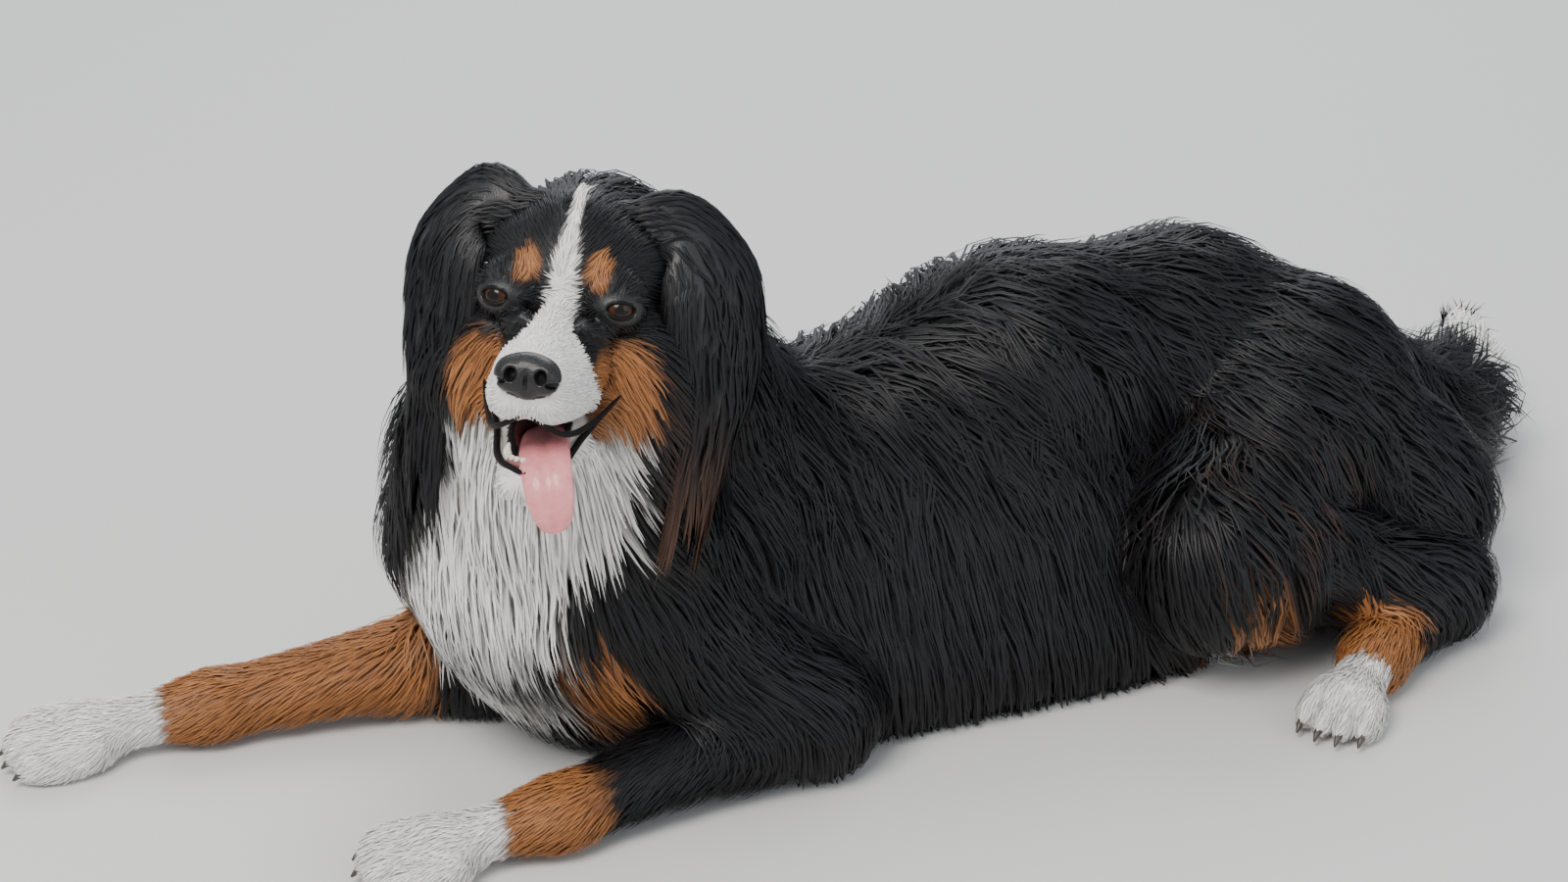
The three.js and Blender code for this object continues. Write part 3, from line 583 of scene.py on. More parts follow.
@dataclass
class Paw:
    """A paw: a pad with four toes side by side, each with a claw."""

    root: tuple
    tip: tuple
    wide: float
    radius: float
    toes: tuple = (-1.5, -0.5, 0.5, 1.5)

    def __post_init__(self) -> None:
        """Works out the paw's own directions."""
        ahead = np.array([self.tip[0] - self.root[0], self.tip[1] - self.root[1], 0.0])
        self.long = float(np.linalg.norm(ahead))
        self.ahead = unit(ahead)
        self.across = np.cross([0, 0, 1.0], self.ahead)

    def spot(self, forward: float, side: float, height: float) -> Array:
        """A place by its distance from the wrist, to the side and over the floor."""
        ground = np.array([self.root[0], self.root[1], height], float)
        return ground + self.ahead * forward + self.across * side

    def toe(self, k: float, forward: float, height: float) -> Array:
        """A place on a toe."""
        spread = k * self.wide / 4.2 * (0.72 + forward / self.long / 3)
        return self.spot(forward - abs(k) * 7, spread, height)

    def frame(self, at: Array) -> Frame:
        """The paw's frame at a place."""
        return Frame(at, np.array([self.ahead, self.across, [0, 0, 1.0]]))

    def forms(self) -> list[Form]:
        """The pad, the knuckles and the toes.

        Returns:
            The forms.
        """
        r, long, wide = self.radius, self.long, self.wide
        pad = Bones([
            (self.root, self.spot(long * 0.56, 0, r + 2), r, r * 0.95),
            (
                self.spot(long * 0.6, -wide * 0.2, r * 0.8), self.spot(long * 0.6, wide * 0.2, r * 0.8),
                r * 0.85, r * 0.85,
            ),
        ], 26)
        toes = []
        for k in self.toes:
            at = self.toe(k, long * 0.8, r * 0.74)
            toes.append(Egg(self.frame(at), (long * 0.19, wide * 0.132, r * 0.79)))
            knuckle = self.frame(self.toe(k, long * 0.7, r * 0.98))
            toes.append(Egg(knuckle, (long * 0.12, wide * 0.12, r * 0.62)))
        return [pad, Joined(toes, 3)]


PAWS = {
    "forepaw_left": Paw(JOINTS["left"].wrist, JOINTS["left"].toe, 88, 21),
    "forepaw_right": Paw(JOINTS["right"].wrist, JOINTS["right"].toe, 88, 21),
    "hindpaw_left": Paw(JOINTS["left"].ball, JOINTS["left"].hind_toe, 70, 19),
    "hindpaw_right": Paw(JOINTS["right"].ball, JOINTS["right"].hind_toe, 70, 19),
}
TAIL_LINE = [(392, 44, 168), (446, 50, 112), (512, 70, 66), (568, 110, 60), (612, 154, 62), (646, 198, 72)]
TAIL_RADII = [32, 26, 22, 20, 18, 12]
TAIL = Curve(TAIL_LINE)
EYE_RADIUS = 12.5
EYE_AT = (-8, 42, 0)
NOSE_AT = (101, 0, -36)
NOSE_SIZE = (27, 47, 34)
EAR_LINES = {
    "left": [(-62, 40, 48), (-70, 74, 49), (-72, 101, 22), (-70, 111, -24), (-70, 111, -74), (-72, 106, -112)],
    "right": [
        (-62, -40, 50), (-66, -75, 53), (-60, -97, 28), (-56, -101, -20), (-60, -102, -68), (-62, -101, -98),
    ],
}
UPPER_LIP = [(95, 3, -66), (74, 24, -79), (30, 38, -76), (-12, 50, -62)]
LOWER_LIP = [(85, 0, -108), (62, 21, -104), (26, 31, -88), (-10, 45, -68)]


def on_face(*rods: tuple) -> list[tuple]:
    """Rods given in the head's frame, with two for each that stands off the middle.

    Returns:
        The rods in the dog's frame.
    """
    made = []
    for a, b, ra, rb in rods:
        for s in (1, -1) if a[1] or b[1] else (1,):
            ends = [HEAD.out((x, s * y, z)) for x, y, z in (a, b)]
            made.append((*ends, ra, rb))
    return made


def eye_frame(s: int) -> Frame:
    """An eye's frame: x looks out of the eye, turned a little to its side.

    Args:
        s: 1 for the left eye, -1 for the right.

    Returns:
        The frame.
    """
    turn = np.radians(20 * s)
    turned = np.array([[np.cos(turn), np.sin(turn), 0], [-np.sin(turn), np.cos(turn), 0], [0, 0, 1]])
    return Frame(HEAD.out((EYE_AT[0], s * EYE_AT[1], EYE_AT[2])), turned @ HEAD.axes)


def shifted(frame: Frame, *by: float) -> Frame:
    """The same axes from another place."""
    return Frame(frame.out(by), frame.axes)


def body_parts() -> dict[str, Form]:
    """Every part of flesh by name, as in the solids but without their coat.

    Returns:
        The forms by name.
    """
    parts: dict[str, Form] = {
        "trunk": Bones([
            ((-285, -30, 146), (40, 2, 206), 86, 98), ((-335, -38, 104), (10, -8, 104), 92, 106),
            ((-262, -78, 186), (-346, -106, 158), 46, 54), ((-255, 32, 190), (-335, 64, 165), 46, 50),
            ((40, 2, 208), (210, 22, 200), 98, 90), ((10, -8, 104), (200, 0, 96), 106, 90),
            ((-200, -62, 78), (150, -66, 76), 80, 78), ((-200, 36, 78), (150, 62, 76), 78, 78),
            ((-190, -112, 40), (120, -118, 38), 42, 40), ((-190, 88, 40), (130, 110, 38), 40, 40),
            ((210, 22, 196), (332, 38, 152), 90, 80),
        ], 46),
        "breast": Bones([((-350, -40, 150), (-386, -44, 160), 86, 72)], 46),
        "neck": Bones([
            ((-236, -24, 206), HEAD.out((-112, 4, 10)), 78, 62),
            ((-440, -16, 178), HEAD.out((-76, -64, -66)), 54, 46),
            ((-350, -118, 185), HEAD.out((-78, 54, -58)), 52, 46),
            ((-408, -72, 160), HEAD.out((-62, 0, -84)), 62, 44),
        ], 46),
        "skull": Bones(on_face(
            ((-72, 0, 8), (-106, 0, 2), 62, 58), ((-34, 0, 12), (-62, 0, 36), 29, 34),
            ((-27, 34, 10), (-50, 38, 26), 17, 23),
        ), 13),
        "cheek": Bones(on_face(((-44, 42, -36), (-88, 47, -34), 30, 34)), 13),
        "muzzle": Bones(on_face(
            ((-4, 13, -43), (86, 10, -45), 24, 17), ((-16, 0, -14), (92, 0, -35), 16, 12),
            ((18, 22, -60), (78, 15, -60), 15, 12),
        ), 13),
        "jaw": Bones(on_face(
            ((-64, 40, -66), (16, 18, -95), 20, 13), ((16, 18, -95), (74, 9, -117), 11, 9),
            ((-54, 0, -80), (12, 0, -104), 34, 15), ((12, 0, -104), (68, 0, -119), 15, 10),
        ), 13),
        "tail": Bones([
            (TAIL_LINE[i], TAIL_LINE[i + 1], TAIL_RADII[i], TAIL_RADII[i + 1])
            for i in range(len(TAIL_LINE) - 1)
        ], 26),
    }
    for side, j in JOINTS.items():
        croup = ((300, -62, 150), (372, -104, 92), 76, 62)
        if side == "right":
            croup = ((330, 84, 120), (370, 62, 84), 64, 60)
        parts[f"upper_arm_{side}"] = Bones([(j.shoulder, j.elbow, 54, 44)], 26)
        parts[f"forearm_{side}"] = Bones([(j.elbow, j.wrist, 38, 23)], 26)
        parts[f"thigh_{side}"] = Bones([(j.hip, j.knee, 84, 56), croup], 26)
        parts[f"shank_{side}"] = Bones([(j.knee, j.hock, 50, 30)], 26)
        parts[f"pastern_{side}"] = Bones([(j.hock, j.ball, 25, 20)], 26)
    for name, paw in PAWS.items():
        parts[name] = Joined(paw.forms(), 6)
    return parts


def mouth_space() -> Form:
    """The hollow of the open mouth."""
    return Egg(shifted(HEAD, 38, 0, -85), (54, 17, 15))


def lid_opening(s: int, grow: float = 0) -> Form:
    """The almond opening of one eye's lids."""
    return Egg(shifted(eye_frame(s), 13, 0, 0), [r + grow for r in (8.5, 11.6, 6.6)])


def whole_skin(parts: dict[str, Form]) -> Form:
    """The one skin: all the parts run into each other, with the mouth and the eyes opened.

    Args:
        parts: The parts of flesh by name.

    Returns:
        The joined form.
    """
    face = Joined([parts["skull"], parts["cheek"], parts["muzzle"]], 13)
    mounds = [Egg(shifted(eye_frame(s), -3, 0, 0.5), (17, 20, 16)) for s in (1, -1)]
    socket = [Egg(eye_frame(s), [EYE_RADIUS - 0.6] * 3) for s in (1, -1)]
    folds = Bones(on_face(
        ((12, 22, -12), (-4, 31, -19), 5, 6), ((-20, 30, 21), (-14, 50, 15), 7, 6),
        ((52, 19, -58), (86, 11, -58), 14, 11),
    ), 8)
    face = Joined([face, *mounds, folds], 9)
    head = Joined([face, parts["jaw"]], 5, [mouth_space()], 5)
    trunk = Joined([parts["trunk"], parts["breast"], parts["neck"]], 46)
    limbs = [form for name, form in parts.items() if name.split("_")[0] in LIMB_NAMES]
    body = Joined([trunk, *limbs, parts["tail"]], 26)
    furrow = Bones(on_face(((-18, 0, 47), (-50, 0, 71), 3, 3)), 4)
    openings = [lid_opening(1), lid_opening(-1), *socket]
    whole = Joined([head, body], 20)
    whole = Joined([whole], 6, [furrow], 6)
    return Joined([whole], 1, [*openings, Ground()], 1.2)


WHITE_FROM = {
    "forepaw_left": (44, 62), "forepaw_right": (38, 62), "hindpaw_left": (26, 56), "hindpaw_right": (60, 34),
}
LIMB_NAMES = ("upper", "forearm", "thigh", "shank", "pastern", "forepaw", "hindpaw")


class Markings:
    """Where the coat is white, tan or sun-bleached, as shares from 0 to 1."""

    def __init__(self) -> None:
        """Places the tan patches that lie on two parts."""
        self.tan_breast = Bones([
            ((-396, -170, 122), (-386, -136, 70), 27, 22), ((-474, 62, 108), (-468, 60, 74), 24, 20),
        ], 10)
        self.tan_foot = Bones([((196, -170, 40), (150, -230, 84), 24, 25)], 10)

    @staticmethod
    def edge(gap: Array, p: Array, soft: float = 8.0, ragged: float = 5.0) -> Array:
        """A share that falls from 1 inside to 0 outside, with a ragged edge."""
        return np.clip(0.5 - (gap + ragged * ripple(p, 38, 3)) / soft, 0, 1)

    def face_white(self, p: Array) -> Array:
        """The blaze, the muzzle and the chin.

        Args:
            p: Points in the dog's frame.

        Returns:
            A share for each point.
        """
        f, l, u = HEAD.into(p).T
        blaze = np.abs(l - 1) - (4.0 + 0.14 * np.clip(f + 30, 0, 60) + smooth(u, 60, 10) * 2.6)
        blaze = np.maximum(blaze, -72 - f)
        muzzle = np.maximum(16 - f, np.abs(l) - (9 + 1.25 * (f - 16) + np.clip(-34 - u, 0, 99) * 1.1))
        chin = np.maximum(np.abs(l) - 34, -22 - f) + np.clip(u + 84, 0, 99)
        white = [self.edge(gap, p, 3.5, 1.6) for gap in (blaze, muzzle, chin)]
        return np.maximum.reduce(white) * (np.linalg.norm(p - HEAD.origin, axis=1) < 190)

    def face_tan(self, p: Array) -> Array:
        """The spots over the eyes and the cheeks.

        Args:
            p: Points in the dog's frame.

        Returns:
            A share for each point.
        """
        f, l, u = HEAD.into(p).T
        spot = np.hypot((np.abs(l) - 25) / 1.0, (u - 24) / 1.25) - 9.5
        spot = np.maximum(spot, -60 - f)
        cheek = np.hypot((np.abs(l) - 52) / 26, (u + 62) / 36) * 26 - 26
        cheek = np.maximum(cheek, -86 - f)
        return np.maximum(self.edge(spot, p, 4, 1.5), self.edge(cheek, p, 8, 4))

    @staticmethod
    def bib_gap(p: Array) -> Array:
        """How far outside the white of the throat and chest each point lies.

        Args:
            p: Points in the dog's frame.

        Returns:
            A gap for each point, less than 0 inside.
        """
        far = np.interp(p[:, 2], [60, 120, 176, 241, 304, 346, 380], [58, 24, -36, -94, -124, -136, -150])
        heights = [60, 122, 186, 219, 250, 284, 330]
        near = np.interp(p[:, 2], heights, [-402, -416, -430, -414, -384, -350, -336])
        front = Bones([
            ((-380, -40, 140), (-400, -60, 190), 112, 108), ((-400, -60, 190), (-446, -150, 330), 108, 96),
        ], 10).distance(p)
        throat = HEAD.into(p)[:, 2] + 100
        return np.maximum.reduce([p[:, 1] - far, p[:, 0] - near, front, 58 - p[:, 2], throat])

    def white(self, p: Array) -> Array:
        """The share of white in the coat.

        Args:
            p: Points in the dog's frame.

        Returns:
            A share for each point.
        """
        chest = self.edge(self.bib_gap(p), p, 14, 7)
        feet = [self.edge(self.paw_gap(p, name), p, 8, 5) for name in PAWS]
        tip = self.edge(np.maximum((0.79 - TAIL.nearest(p)) * 290, 500 - p[:, 0]), p, 14, 8)
        return np.maximum.reduce([self.face_white(p), chest, *feet, tip])

    @staticmethod
    def paw_gap(p: Array, name: str) -> Array:
        """How far behind a paw's white each point lies.

        Args:
            p: Points in the dog's frame.
            name: The paw's name.

        Returns:
            A gap for each point, less than 0 inside.
        """
        paw = PAWS[name]
        rel = p - np.array(paw.root)
        reach = rel @ paw.ahead
        start, wide = WHITE_FROM[name]
        around = Bones([((*paw.root[:2], 20), (*paw.tip[:2], 20), wide, wide)], 1).distance(p)
        return np.maximum(start - reach, around)

    def tan(self, p: Array) -> Array:
        """The share of tan in the coat.

        Args:
            p: Points in the dog's frame.

        Returns:
            A share for each point.
        """
        legs = []
        for side, j in JOINTS.items():
            wrist, elbow = np.array(j.wrist), np.array(j.elbow)
            share = (p - elbow) @ (wrist - elbow) / ((wrist - elbow) @ (wrist - elbow))
            fore = Bones([(j.elbow, j.wrist, 62, 56), (j.wrist, j.toe, 56, 50)], 5).distance(p)
            start = 0.86 if side == "left" else 0.2
            legs.append(np.maximum(fore, (start - share) * 180))
            foot = unit(np.array(j.ball, float) - np.array(j.hock))
            hind = Bones([(j.hock, j.ball, 30, 42), (j.ball, j.hind_toe, 42, 40)], 5).distance(p)
            from_hock = 78 if side == "left" else 40
            legs.append(np.maximum.reduce([hind, from_hock - (p - np.array(j.hock)) @ foot, p[:, 2] - 66]))
        legs.append(self.tan_foot.distance(p))
        breast = self.tan_breast.distance(p)
        return np.maximum.reduce([self.face_tan(p), *[self.edge(gap, p, 14, 8) for gap in [*legs, breast]]])

    def rust(self, p: Array) -> Array:
        """The share of sun-bleached brown over the black.

        Args:
            p: Points in the dog's frame.

        Returns:
            A share for each point.
        """
        head = HEAD.into(p)
        near = np.linalg.norm(p - HEAD.origin, axis=1) < 200
        ear = smooth(head[:, 2], -40, -110) * smooth(head[:, 1], 70, 96) * near
        streak = smooth(ripple(p * [1, 1, 0.35], 46, 5), 0.25, 0.9)
        haunch = smooth(p[:, 0], 60, 130) * smooth(p[:, 0], 320, 230)
        haunch = haunch * smooth(p[:, 2], 235, 190) * (p[:, 1] < 0)
        return np.clip(0.65 * ear + 0.45 * haunch * streak, 0, 1)

    def all(self, p: Array) -> Array:
        """White, tan and bleached shares side by side.

        Args:
            p: Points in the dog's frame.

        Returns:
            Three shares for each point.
        """
        white = self.white(p)
        tan = self.tan(p) * (1 - white)
        return np.stack([white, tan, self.rust(p)], 1)


@dataclass(frozen=True)
class Lay:
    """How the hair grows on one part of the body.

    Sizes are a hair lock's length and width, how far the coat stands off the skin, how far apart the roots
    and the gathered locks are, and how far the hair waves; gather is the share by which it runs together.
    """

    long: float
    depth: float
    wide: float
    apart: float
    lock: float
    wave: float
    gather: float
    lie: Callable[[Array], Array]


def steady(*way: float) -> Callable[[Array], Array]:
    """Hair that lies one way all over."""
    return lambda p: np.broadcast_to(np.array(way, float), p.shape)


def ramp(x: Array, low: float, high: float, first: float, last: float) -> Array:
    """A value that runs from first to last between two places."""
    return first + (last - first) * smooth(x, low, high)


def trunk_lie(p: Array) -> Array:
    """Back along the spine, then down over the ribs.

    Args:
        p: Points in the dog's frame.

    Returns:
        A direction for each point.
    """
    back = ramp(p[:, 0], -420, -180, 0.3, 0.8) * ramp(p[:, 2], 160, 250, 0.2, 1.0)
    middle = np.interp(p[:, 0], [-370, 0, 330], [-45, 4, 38])
    return np.stack([back, np.clip((p[:, 1] - middle) * 0.006, -0.7, 0.7), np.full(len(p), -1.0)], 1)


def neck_lie(p: Array) -> Array:
    """Down the throat, and back over the nape."""
    back = smooth(p[:, 0], -440, -330)
    aside = -0.1 + 0.3 * back * np.sign(p[:, 1] + 60)
    return np.stack([-0.05 + 0.65 * back, aside, np.full(len(p), -1.0)], 1)


def haunch_lie(p: Array) -> Array:
    """Down the thigh and back towards the tail."""
    return np.stack([ramp(p[:, 0], 120, 300, 0.25, 0.75), -0.1 + 0 * p[:, 1], np.full(len(p), -1.0)], 1)


def tail_lie(p: Array) -> Array:
    """Along the tail and out from it.

    Args:
        p: Points in the dog's frame.

    Returns:
        A direction for each point.
    """
    share = TAIL.nearest(p)
    out = unit(p - TAIL.point(share))
    return TAIL.tangent(share) + 0.1 * out + np.array([0, 0, -0.15])


def face_lie(f: float, l: float, u: float) -> Callable[[Array], Array]:
    """A lie given in the head's frame, the same on both sides of the middle.

    Args:
        f: Share towards the nose.
        l: Share towards the side.
        u: Share towards the crown.

    Returns:
        What gives the directions.
    """

    def lie(p: Array) -> Array:
        """The directions at points of the skin.

        Args:
            p: Points in the dog's frame.

        Returns:
            A direction for each point.
        """
        side = np.clip(HEAD.into(p)[:, 1] / 12, -1, 1)
        ways = np.stack([np.full(len(p), float(f)), l * side, np.full(len(p), float(u))], 1)
        return ways @ HEAD.axes

    return lie


def limb_lie(a: tuple, b: tuple, droop: float) -> Callable[[Array], Array]:
    """Along a limb from one joint to the next, hanging a little."""
    way = unit(np.array(b, float) - np.array(a, float)) + np.array([0, 0, -droop])
    return steady(*way)


def coat_lays() -> dict[str, Lay]:
    """How the hair grows on each part of flesh.

    Returns:
        The lays by the names of the parts.
    """
    lays = {
        "trunk": Lay(96, 25, 2.9, 4.9, 26, 4.2, 0.6, trunk_lie),
        "breast": Lay(86, 27, 2.8, 4.6, 24, 2.2, 0.5, steady(0.05, 0, -1)),
        "neck": Lay(80, 28, 2.7, 4.5, 23, 2.2, 0.5, neck_lie),
        "skull": Lay(13, 3.0, 1.25, 2.2, 8, 0.1, 0.15, face_lie(-1, 0.1, 0.1)),
        "cheek": Lay(24, 7.0, 1.7, 2.8, 11, 0.5, 0.35, face_lie(-0.75, 0.3, -0.7)),
        "muzzle": Lay(8, 1.7, 1.1, 2.0, 6, 0.0, 0.1, face_lie(-1, 0.1, -0.1)),
        "jaw": Lay(15, 3.6, 1.4, 2.5, 8, 0.1, 0.3, face_lie(-0.9, 0.2, -0.4)),
        "tail": Lay(92, 40, 3.0, 3.9, 24, 3.0, 0.6, tail_lie),
    }
    for side, j in JOINTS.items():
        lays[f"upper_arm_{side}"] = Lay(64, 20, 2.7, 4.4, 22, 1.6, 0.5, steady(0.7, -0.05, -0.55))
        lays[f"forearm_{side}"] = Lay(24, 5.8, 1.9, 3.1, 11, 0.3, 0.3, limb_lie(j.elbow, j.wrist, 0.25))
        lays[f"thigh_{side}"] = Lay(86, 26, 2.9, 4.7, 25, 3.2, 0.6, haunch_lie)
        lays[f"shank_{side}"] = Lay(64, 20, 3.0, 4.7, 22, 1.6, 0.5, limb_lie(j.knee, j.hock, 0.6))
        lays[f"pastern_{side}"] = Lay(24, 5.5, 2.0, 3.1, 11, 0.3, 0.3, limb_lie(j.hock, j.ball, 0.1))
    for name, paw in PAWS.items():
        lays[name] = Lay(12, 3.0, 1.6, 2.6, 7, 0.1, 0.2, steady(*(paw.ahead + [0, 0, -0.35])))
    return lays


@dataclass
class Skin:
    """The one skin under the coat, and the finer stretches of it on the head and the paws."""

    form: Form
    body_step: float = 7.0
    head_step: float = 2.8
    paw_step: float = 3.2
    face_step: float = 1.7

    def patches(self) -> list[Patch]:
        """Boxes from coarse to fine.

        Returns:
            The boxes.
        """
        boxes = [Patch(WORLD, (-850, -370, -8), (710, 300, 500), self.body_step)]
        boxes.append(Patch(HEAD, (-96, -92, -150), (125, 92, 92), self.head_step))
        for paw in PAWS.values():
            low, high = (-20, -paw.wide * 0.62, -5), (paw.long + 14, paw.wide * 0.62, 3.4 * paw.radius)
            boxes.append(Patch(paw.frame(paw.spot(0, 0, 0)), low, high, self.paw_step))
        boxes.append(Patch(HEAD, (4, -44, -134), (108, 44, -18), self.face_step))
        boxes += [Patch(eye_frame(s), (-14, -24, -22), (22, 24, 22), self.face_step * 0.8) for s in (1, -1)]
        return boxes

    def build(self) -> None:
        """Meshes every box, leaving out of each what a finer one covers."""
        boxes = self.patches()
        all_verts, all_faces, count = [], [], 0
        for i, box in enumerate(boxes):
            verts, faces = box.mesh(self.form)
            centres = verts[faces].mean(1)
            keep = np.ones(len(faces), bool)
            for finer in boxes[i + 1 :]:
                keep &= ~finer.holds(centres, box.step * 1.2)
            all_verts.append(verts)
            all_faces.append(faces[keep] + count)
            count += len(verts)
        verts, faces = np.vstack(all_verts), np.vstack(all_faces)
        used = np.zeros(len(verts), bool)
        used[faces] = True
        number = np.cumsum(used) - 1
        self.verts, self.faces = verts[used], number[faces]


@dataclass
class Roots:
    """Where locks grow: places, their mix of parts and their own chances."""

    at: Array
    mix: Array
    chance: Array


@dataclass
class Coat:
    """The coat: locks of hair over the skin, gathered into bigger locks, in one piece for each region."""

    form: Form
    parts: dict[str, Form]
    skin: Skin
    marks: Markings
    finish: "CoatFinish"
    rings: int = 4
    sink: float = 2.5

    def __post_init__(self) -> None:
        """Reads the lays and starts the chances."""
        self.lays = coat_lays()
        self.names = list(self.lays)
        self.rng = np.random.default_rng(SEED)
        self.sparse = 1.0

    def value(self, mix: Array, name: str) -> Array:
        """A size of the lays, mixed at each root."""
        return mix @ np.array([getattr(self.lays[part], name) for part in self.names])

    def lie(self, p: Array, mix: Array, normal: Array) -> Array:
        """The way the hair lies at each point, along the skin."""
        way = sum(mix[:, k : k + 1] * unit(self.lays[part].lie(p)) for k, part in enumerate(self.names))
        return unit(way - (way * normal).sum(1, keepdims=True) * normal)

    def survey(self) -> None:
        """Measures the skin's faces: centre, size, mix of parts and whether hair grows there."""
        corners = self.skin.verts[self.skin.faces]
        self.centres = corners.mean(1)
        cross = np.cross(corners[:, 2] - corners[:, 0], corners[:, 3] - corners[:, 1])
        self.area = np.linalg.norm(cross, axis=1) / 2
        self.normals = unit(cross)
        gaps = np.stack([self.parts[name].near(self.centres) for name in self.names], 1)
        nearness = np.exp(-(gaps - gaps.min(1, keepdims=True)) / 13)
        self.mix = nearness / nearness.sum(1, keepdims=True)
        self.grows = ~self.bald(self.centres, self.normals)
        codes = (self.centres - self.centres.min(0)) // 14
        across = np.where(codes[:, 0] % 2, 99 - codes[:, 1], codes[:, 1])
        code = codes[:, 0] * 10000 + across * 100 + codes[:, 2]
        self.order = np.argsort(code, kind="stable")

    def bald(self, p: Array, normal: Array) -> Array:
        """Where no hair grows: eyes, nose, lips, the mouth and what lies on the floor.

        Args:
            p: Points in the dog's frame.
            normal: The skin's directions there.

        Returns:
            Whether each point stays bare.
        """
        f, l, u = HEAD.into(p).T
        up = normal @ HEAD.axes[2]
        bare = (p[:, 2] < 3) | ((p[:, 2] < 22) & (normal[:, 2] < -0.55))
        for s in (1, -1):
            bare |= lid_opening(s, 2.2).distance(p) < 0
        bare |= Egg(shifted(HEAD, *NOSE_AT), [r / 2 + 1.5 for r in NOSE_SIZE]).distance(p) < 0
        inside = (f > -12) & (np.abs(l) < 33) & (u > -112) & (u < -66)
        bare |= inside & (mouth_space().distance(p) < 5)
        bare |= inside & (f > 2) & (self.parts["jaw"].near(p) < 6) & (up > 0.35)
        bare |= inside & (f > 2) & (up < -0.62)
        for curve in (UPPER_LIP, LOWER_LIP):
            for s in (1, -1):
                ends = [HEAD.out((f, s * l, u)) for f, l, u in curve]
                rods = [(a, b, 3.6, 3.6) for a, b in zip(ends, ends[1:])]
                bare |= Bones(rods, 1).near(p) < 0
        return bare

    @staticmethod
    def under_ear(p: Array) -> Array:
        """The share by which a hanging ear presses the hair under it.

        Args:
            p: Points in the dog's frame.

        Returns:
            A share for each point.
        """
        pressed = np.zeros(len(p))
        for line in EAR_LINES.values():
            rods = [(HEAD.out(a), HEAD.out(b), 36, 36) for a, b in zip(line[2:], line[3:])]
            pressed = np.maximum(pressed, 1 - smooth(Bones(rods, 10).near(p), 0, 22))
        return pressed

    @staticmethod
    def saddle(p: Array) -> Array:
        """The share of the back's waves: none on the straight hair of the flanks, breast and neck."""
        back = smooth(p[:, 2], 185, 245) * smooth(p[:, 0], -330, -230)
        return back + smooth(p[:, 0], 60, 150) * smooth(p[:, 2], 245, 185)

    def scatter(self, apart: str, wider: float) -> Roots:
        """Roots spread evenly over the skin.

        Args:
            apart: Which of the lays' sizes sets how far apart they are.
            wider: How many times that size.

        Returns:
            The roots.
        """
        density = self.area * self.grows / (self.value(self.mix, apart) * wider) ** 2
        total = np.cumsum(density[self.order])
        count = int(total[-1])
        marks = (np.arange(count) + self.rng.uniform(0, 1, count)) / count * total[-1]
        face = self.order[np.minimum(np.searchsorted(total, marks), len(total) - 1)]
        corners = self.skin.verts[self.skin.faces[face]]
        a, b = self.rng.uniform(0, 1, (2, count, 1))
        low = corners[:, 0] * (1 - a) + corners[:, 1] * a
        high = corners[:, 3] * (1 - a) + corners[:, 2] * a
        return Roots(low * (1 - b) + high * b, self.mix[face], self.rng.uniform(0, 1, (count, 4)))

    def lay(self, roots: Roots, swirl: Array, phase: Array) -> tuple[Array, Array]:
        """Lays hair from its roots along the skin.

        Args:
            roots: Where it grows.
            swirl: How far it turns aside from the lie.
            phase: Where its wave starts.

        Returns:
            Places along each hair and the skin's outward direction there.
        """
        long = self.value(roots.mix, "long") * (0.62 + 0.5 * roots.chance[:, 0])
        depth = self.value(roots.mix, "depth") * (0.38 + 0.62 * roots.chance[:, 1])
        wave = self.value(roots.mix, "wave") * (0.3 + 0.9 * self.saddle(roots.at))
        hollow = smooth(self.value(roots.mix, "long"), 12, 40)[:, None]
        pressed = self.under_ear(roots.at)
        long, depth = long * (1 - 0.55 * pressed), depth * (1 - 0.72 * pressed)
        free = smooth(roots.at[:, 0], 520, 590)
        tip = smooth(roots.at[:, 0], 520, 620)
        foot = 1 - smooth(Egg(shifted(WORLD, 212, -192, 74), (46, 62, 78)).distance(roots.at), -14, 10)
        ruff = smooth(roots.at[:, 0], -465, -500) * smooth(roots.at[:, 2], 120, 180)
        ruff = ruff * smooth(roots.at[:, 2], 345, 290)
        plume = smooth(roots.at[:, 0], 420, 480) * smooth(roots.at[:, 0], 575, 520)
        long *= (1 - 0.2 * tip) * (1 - 0.5 * foot)
        depth *= (1 - 0.6 * tip) * (1 - 0.7 * foot) * (1 - 0.5 * ruff) * (1 + 0.3 * plume)
        p = roots.at.copy()
        places, normals = [], []
        for i in range(self.rings + 1):
            t = i / self.rings
            normal = self.form.slope(p, 0.8 + 3 * t)
            first = normal if i == 0 else first
            normal = unit(normal + (first - normal) * free[:, None])
            ahead = self.lie(p, roots.mix, normal)
            side = np.cross(ahead, normal)
            turn = (swirl * (0.4 + 0.6 * t))[:, None]
            ahead = ahead * np.cos(turn) + side * np.sin(turn)
            side = np.cross(ahead, normal)
            rise = depth * np.sin(np.pi / 2 * t**0.75) - self.sink * (1 - t) ** 3
            sway = wave * np.sin(phase + long * t / 52 * 6.28) * smooth(np.full(1, t), 0, 0.35)
            sag = np.array([0, 0, -1.0]) * (6 * t * t) * hollow
            places.append(p + normal * rise[:, None] + side * sway[:, None] + sag)
            normals.append(normal)
            ahead = ahead - normal * (0.5 * t * free)[:, None]
            p = p + ahead * (long / self.rings)[:, None]
            p = p - normal * (np.clip(self.form.near(p), -9, 9) * (1 - free))[:, None]
        return np.stack(places, 1), np.stack(normals, 1)

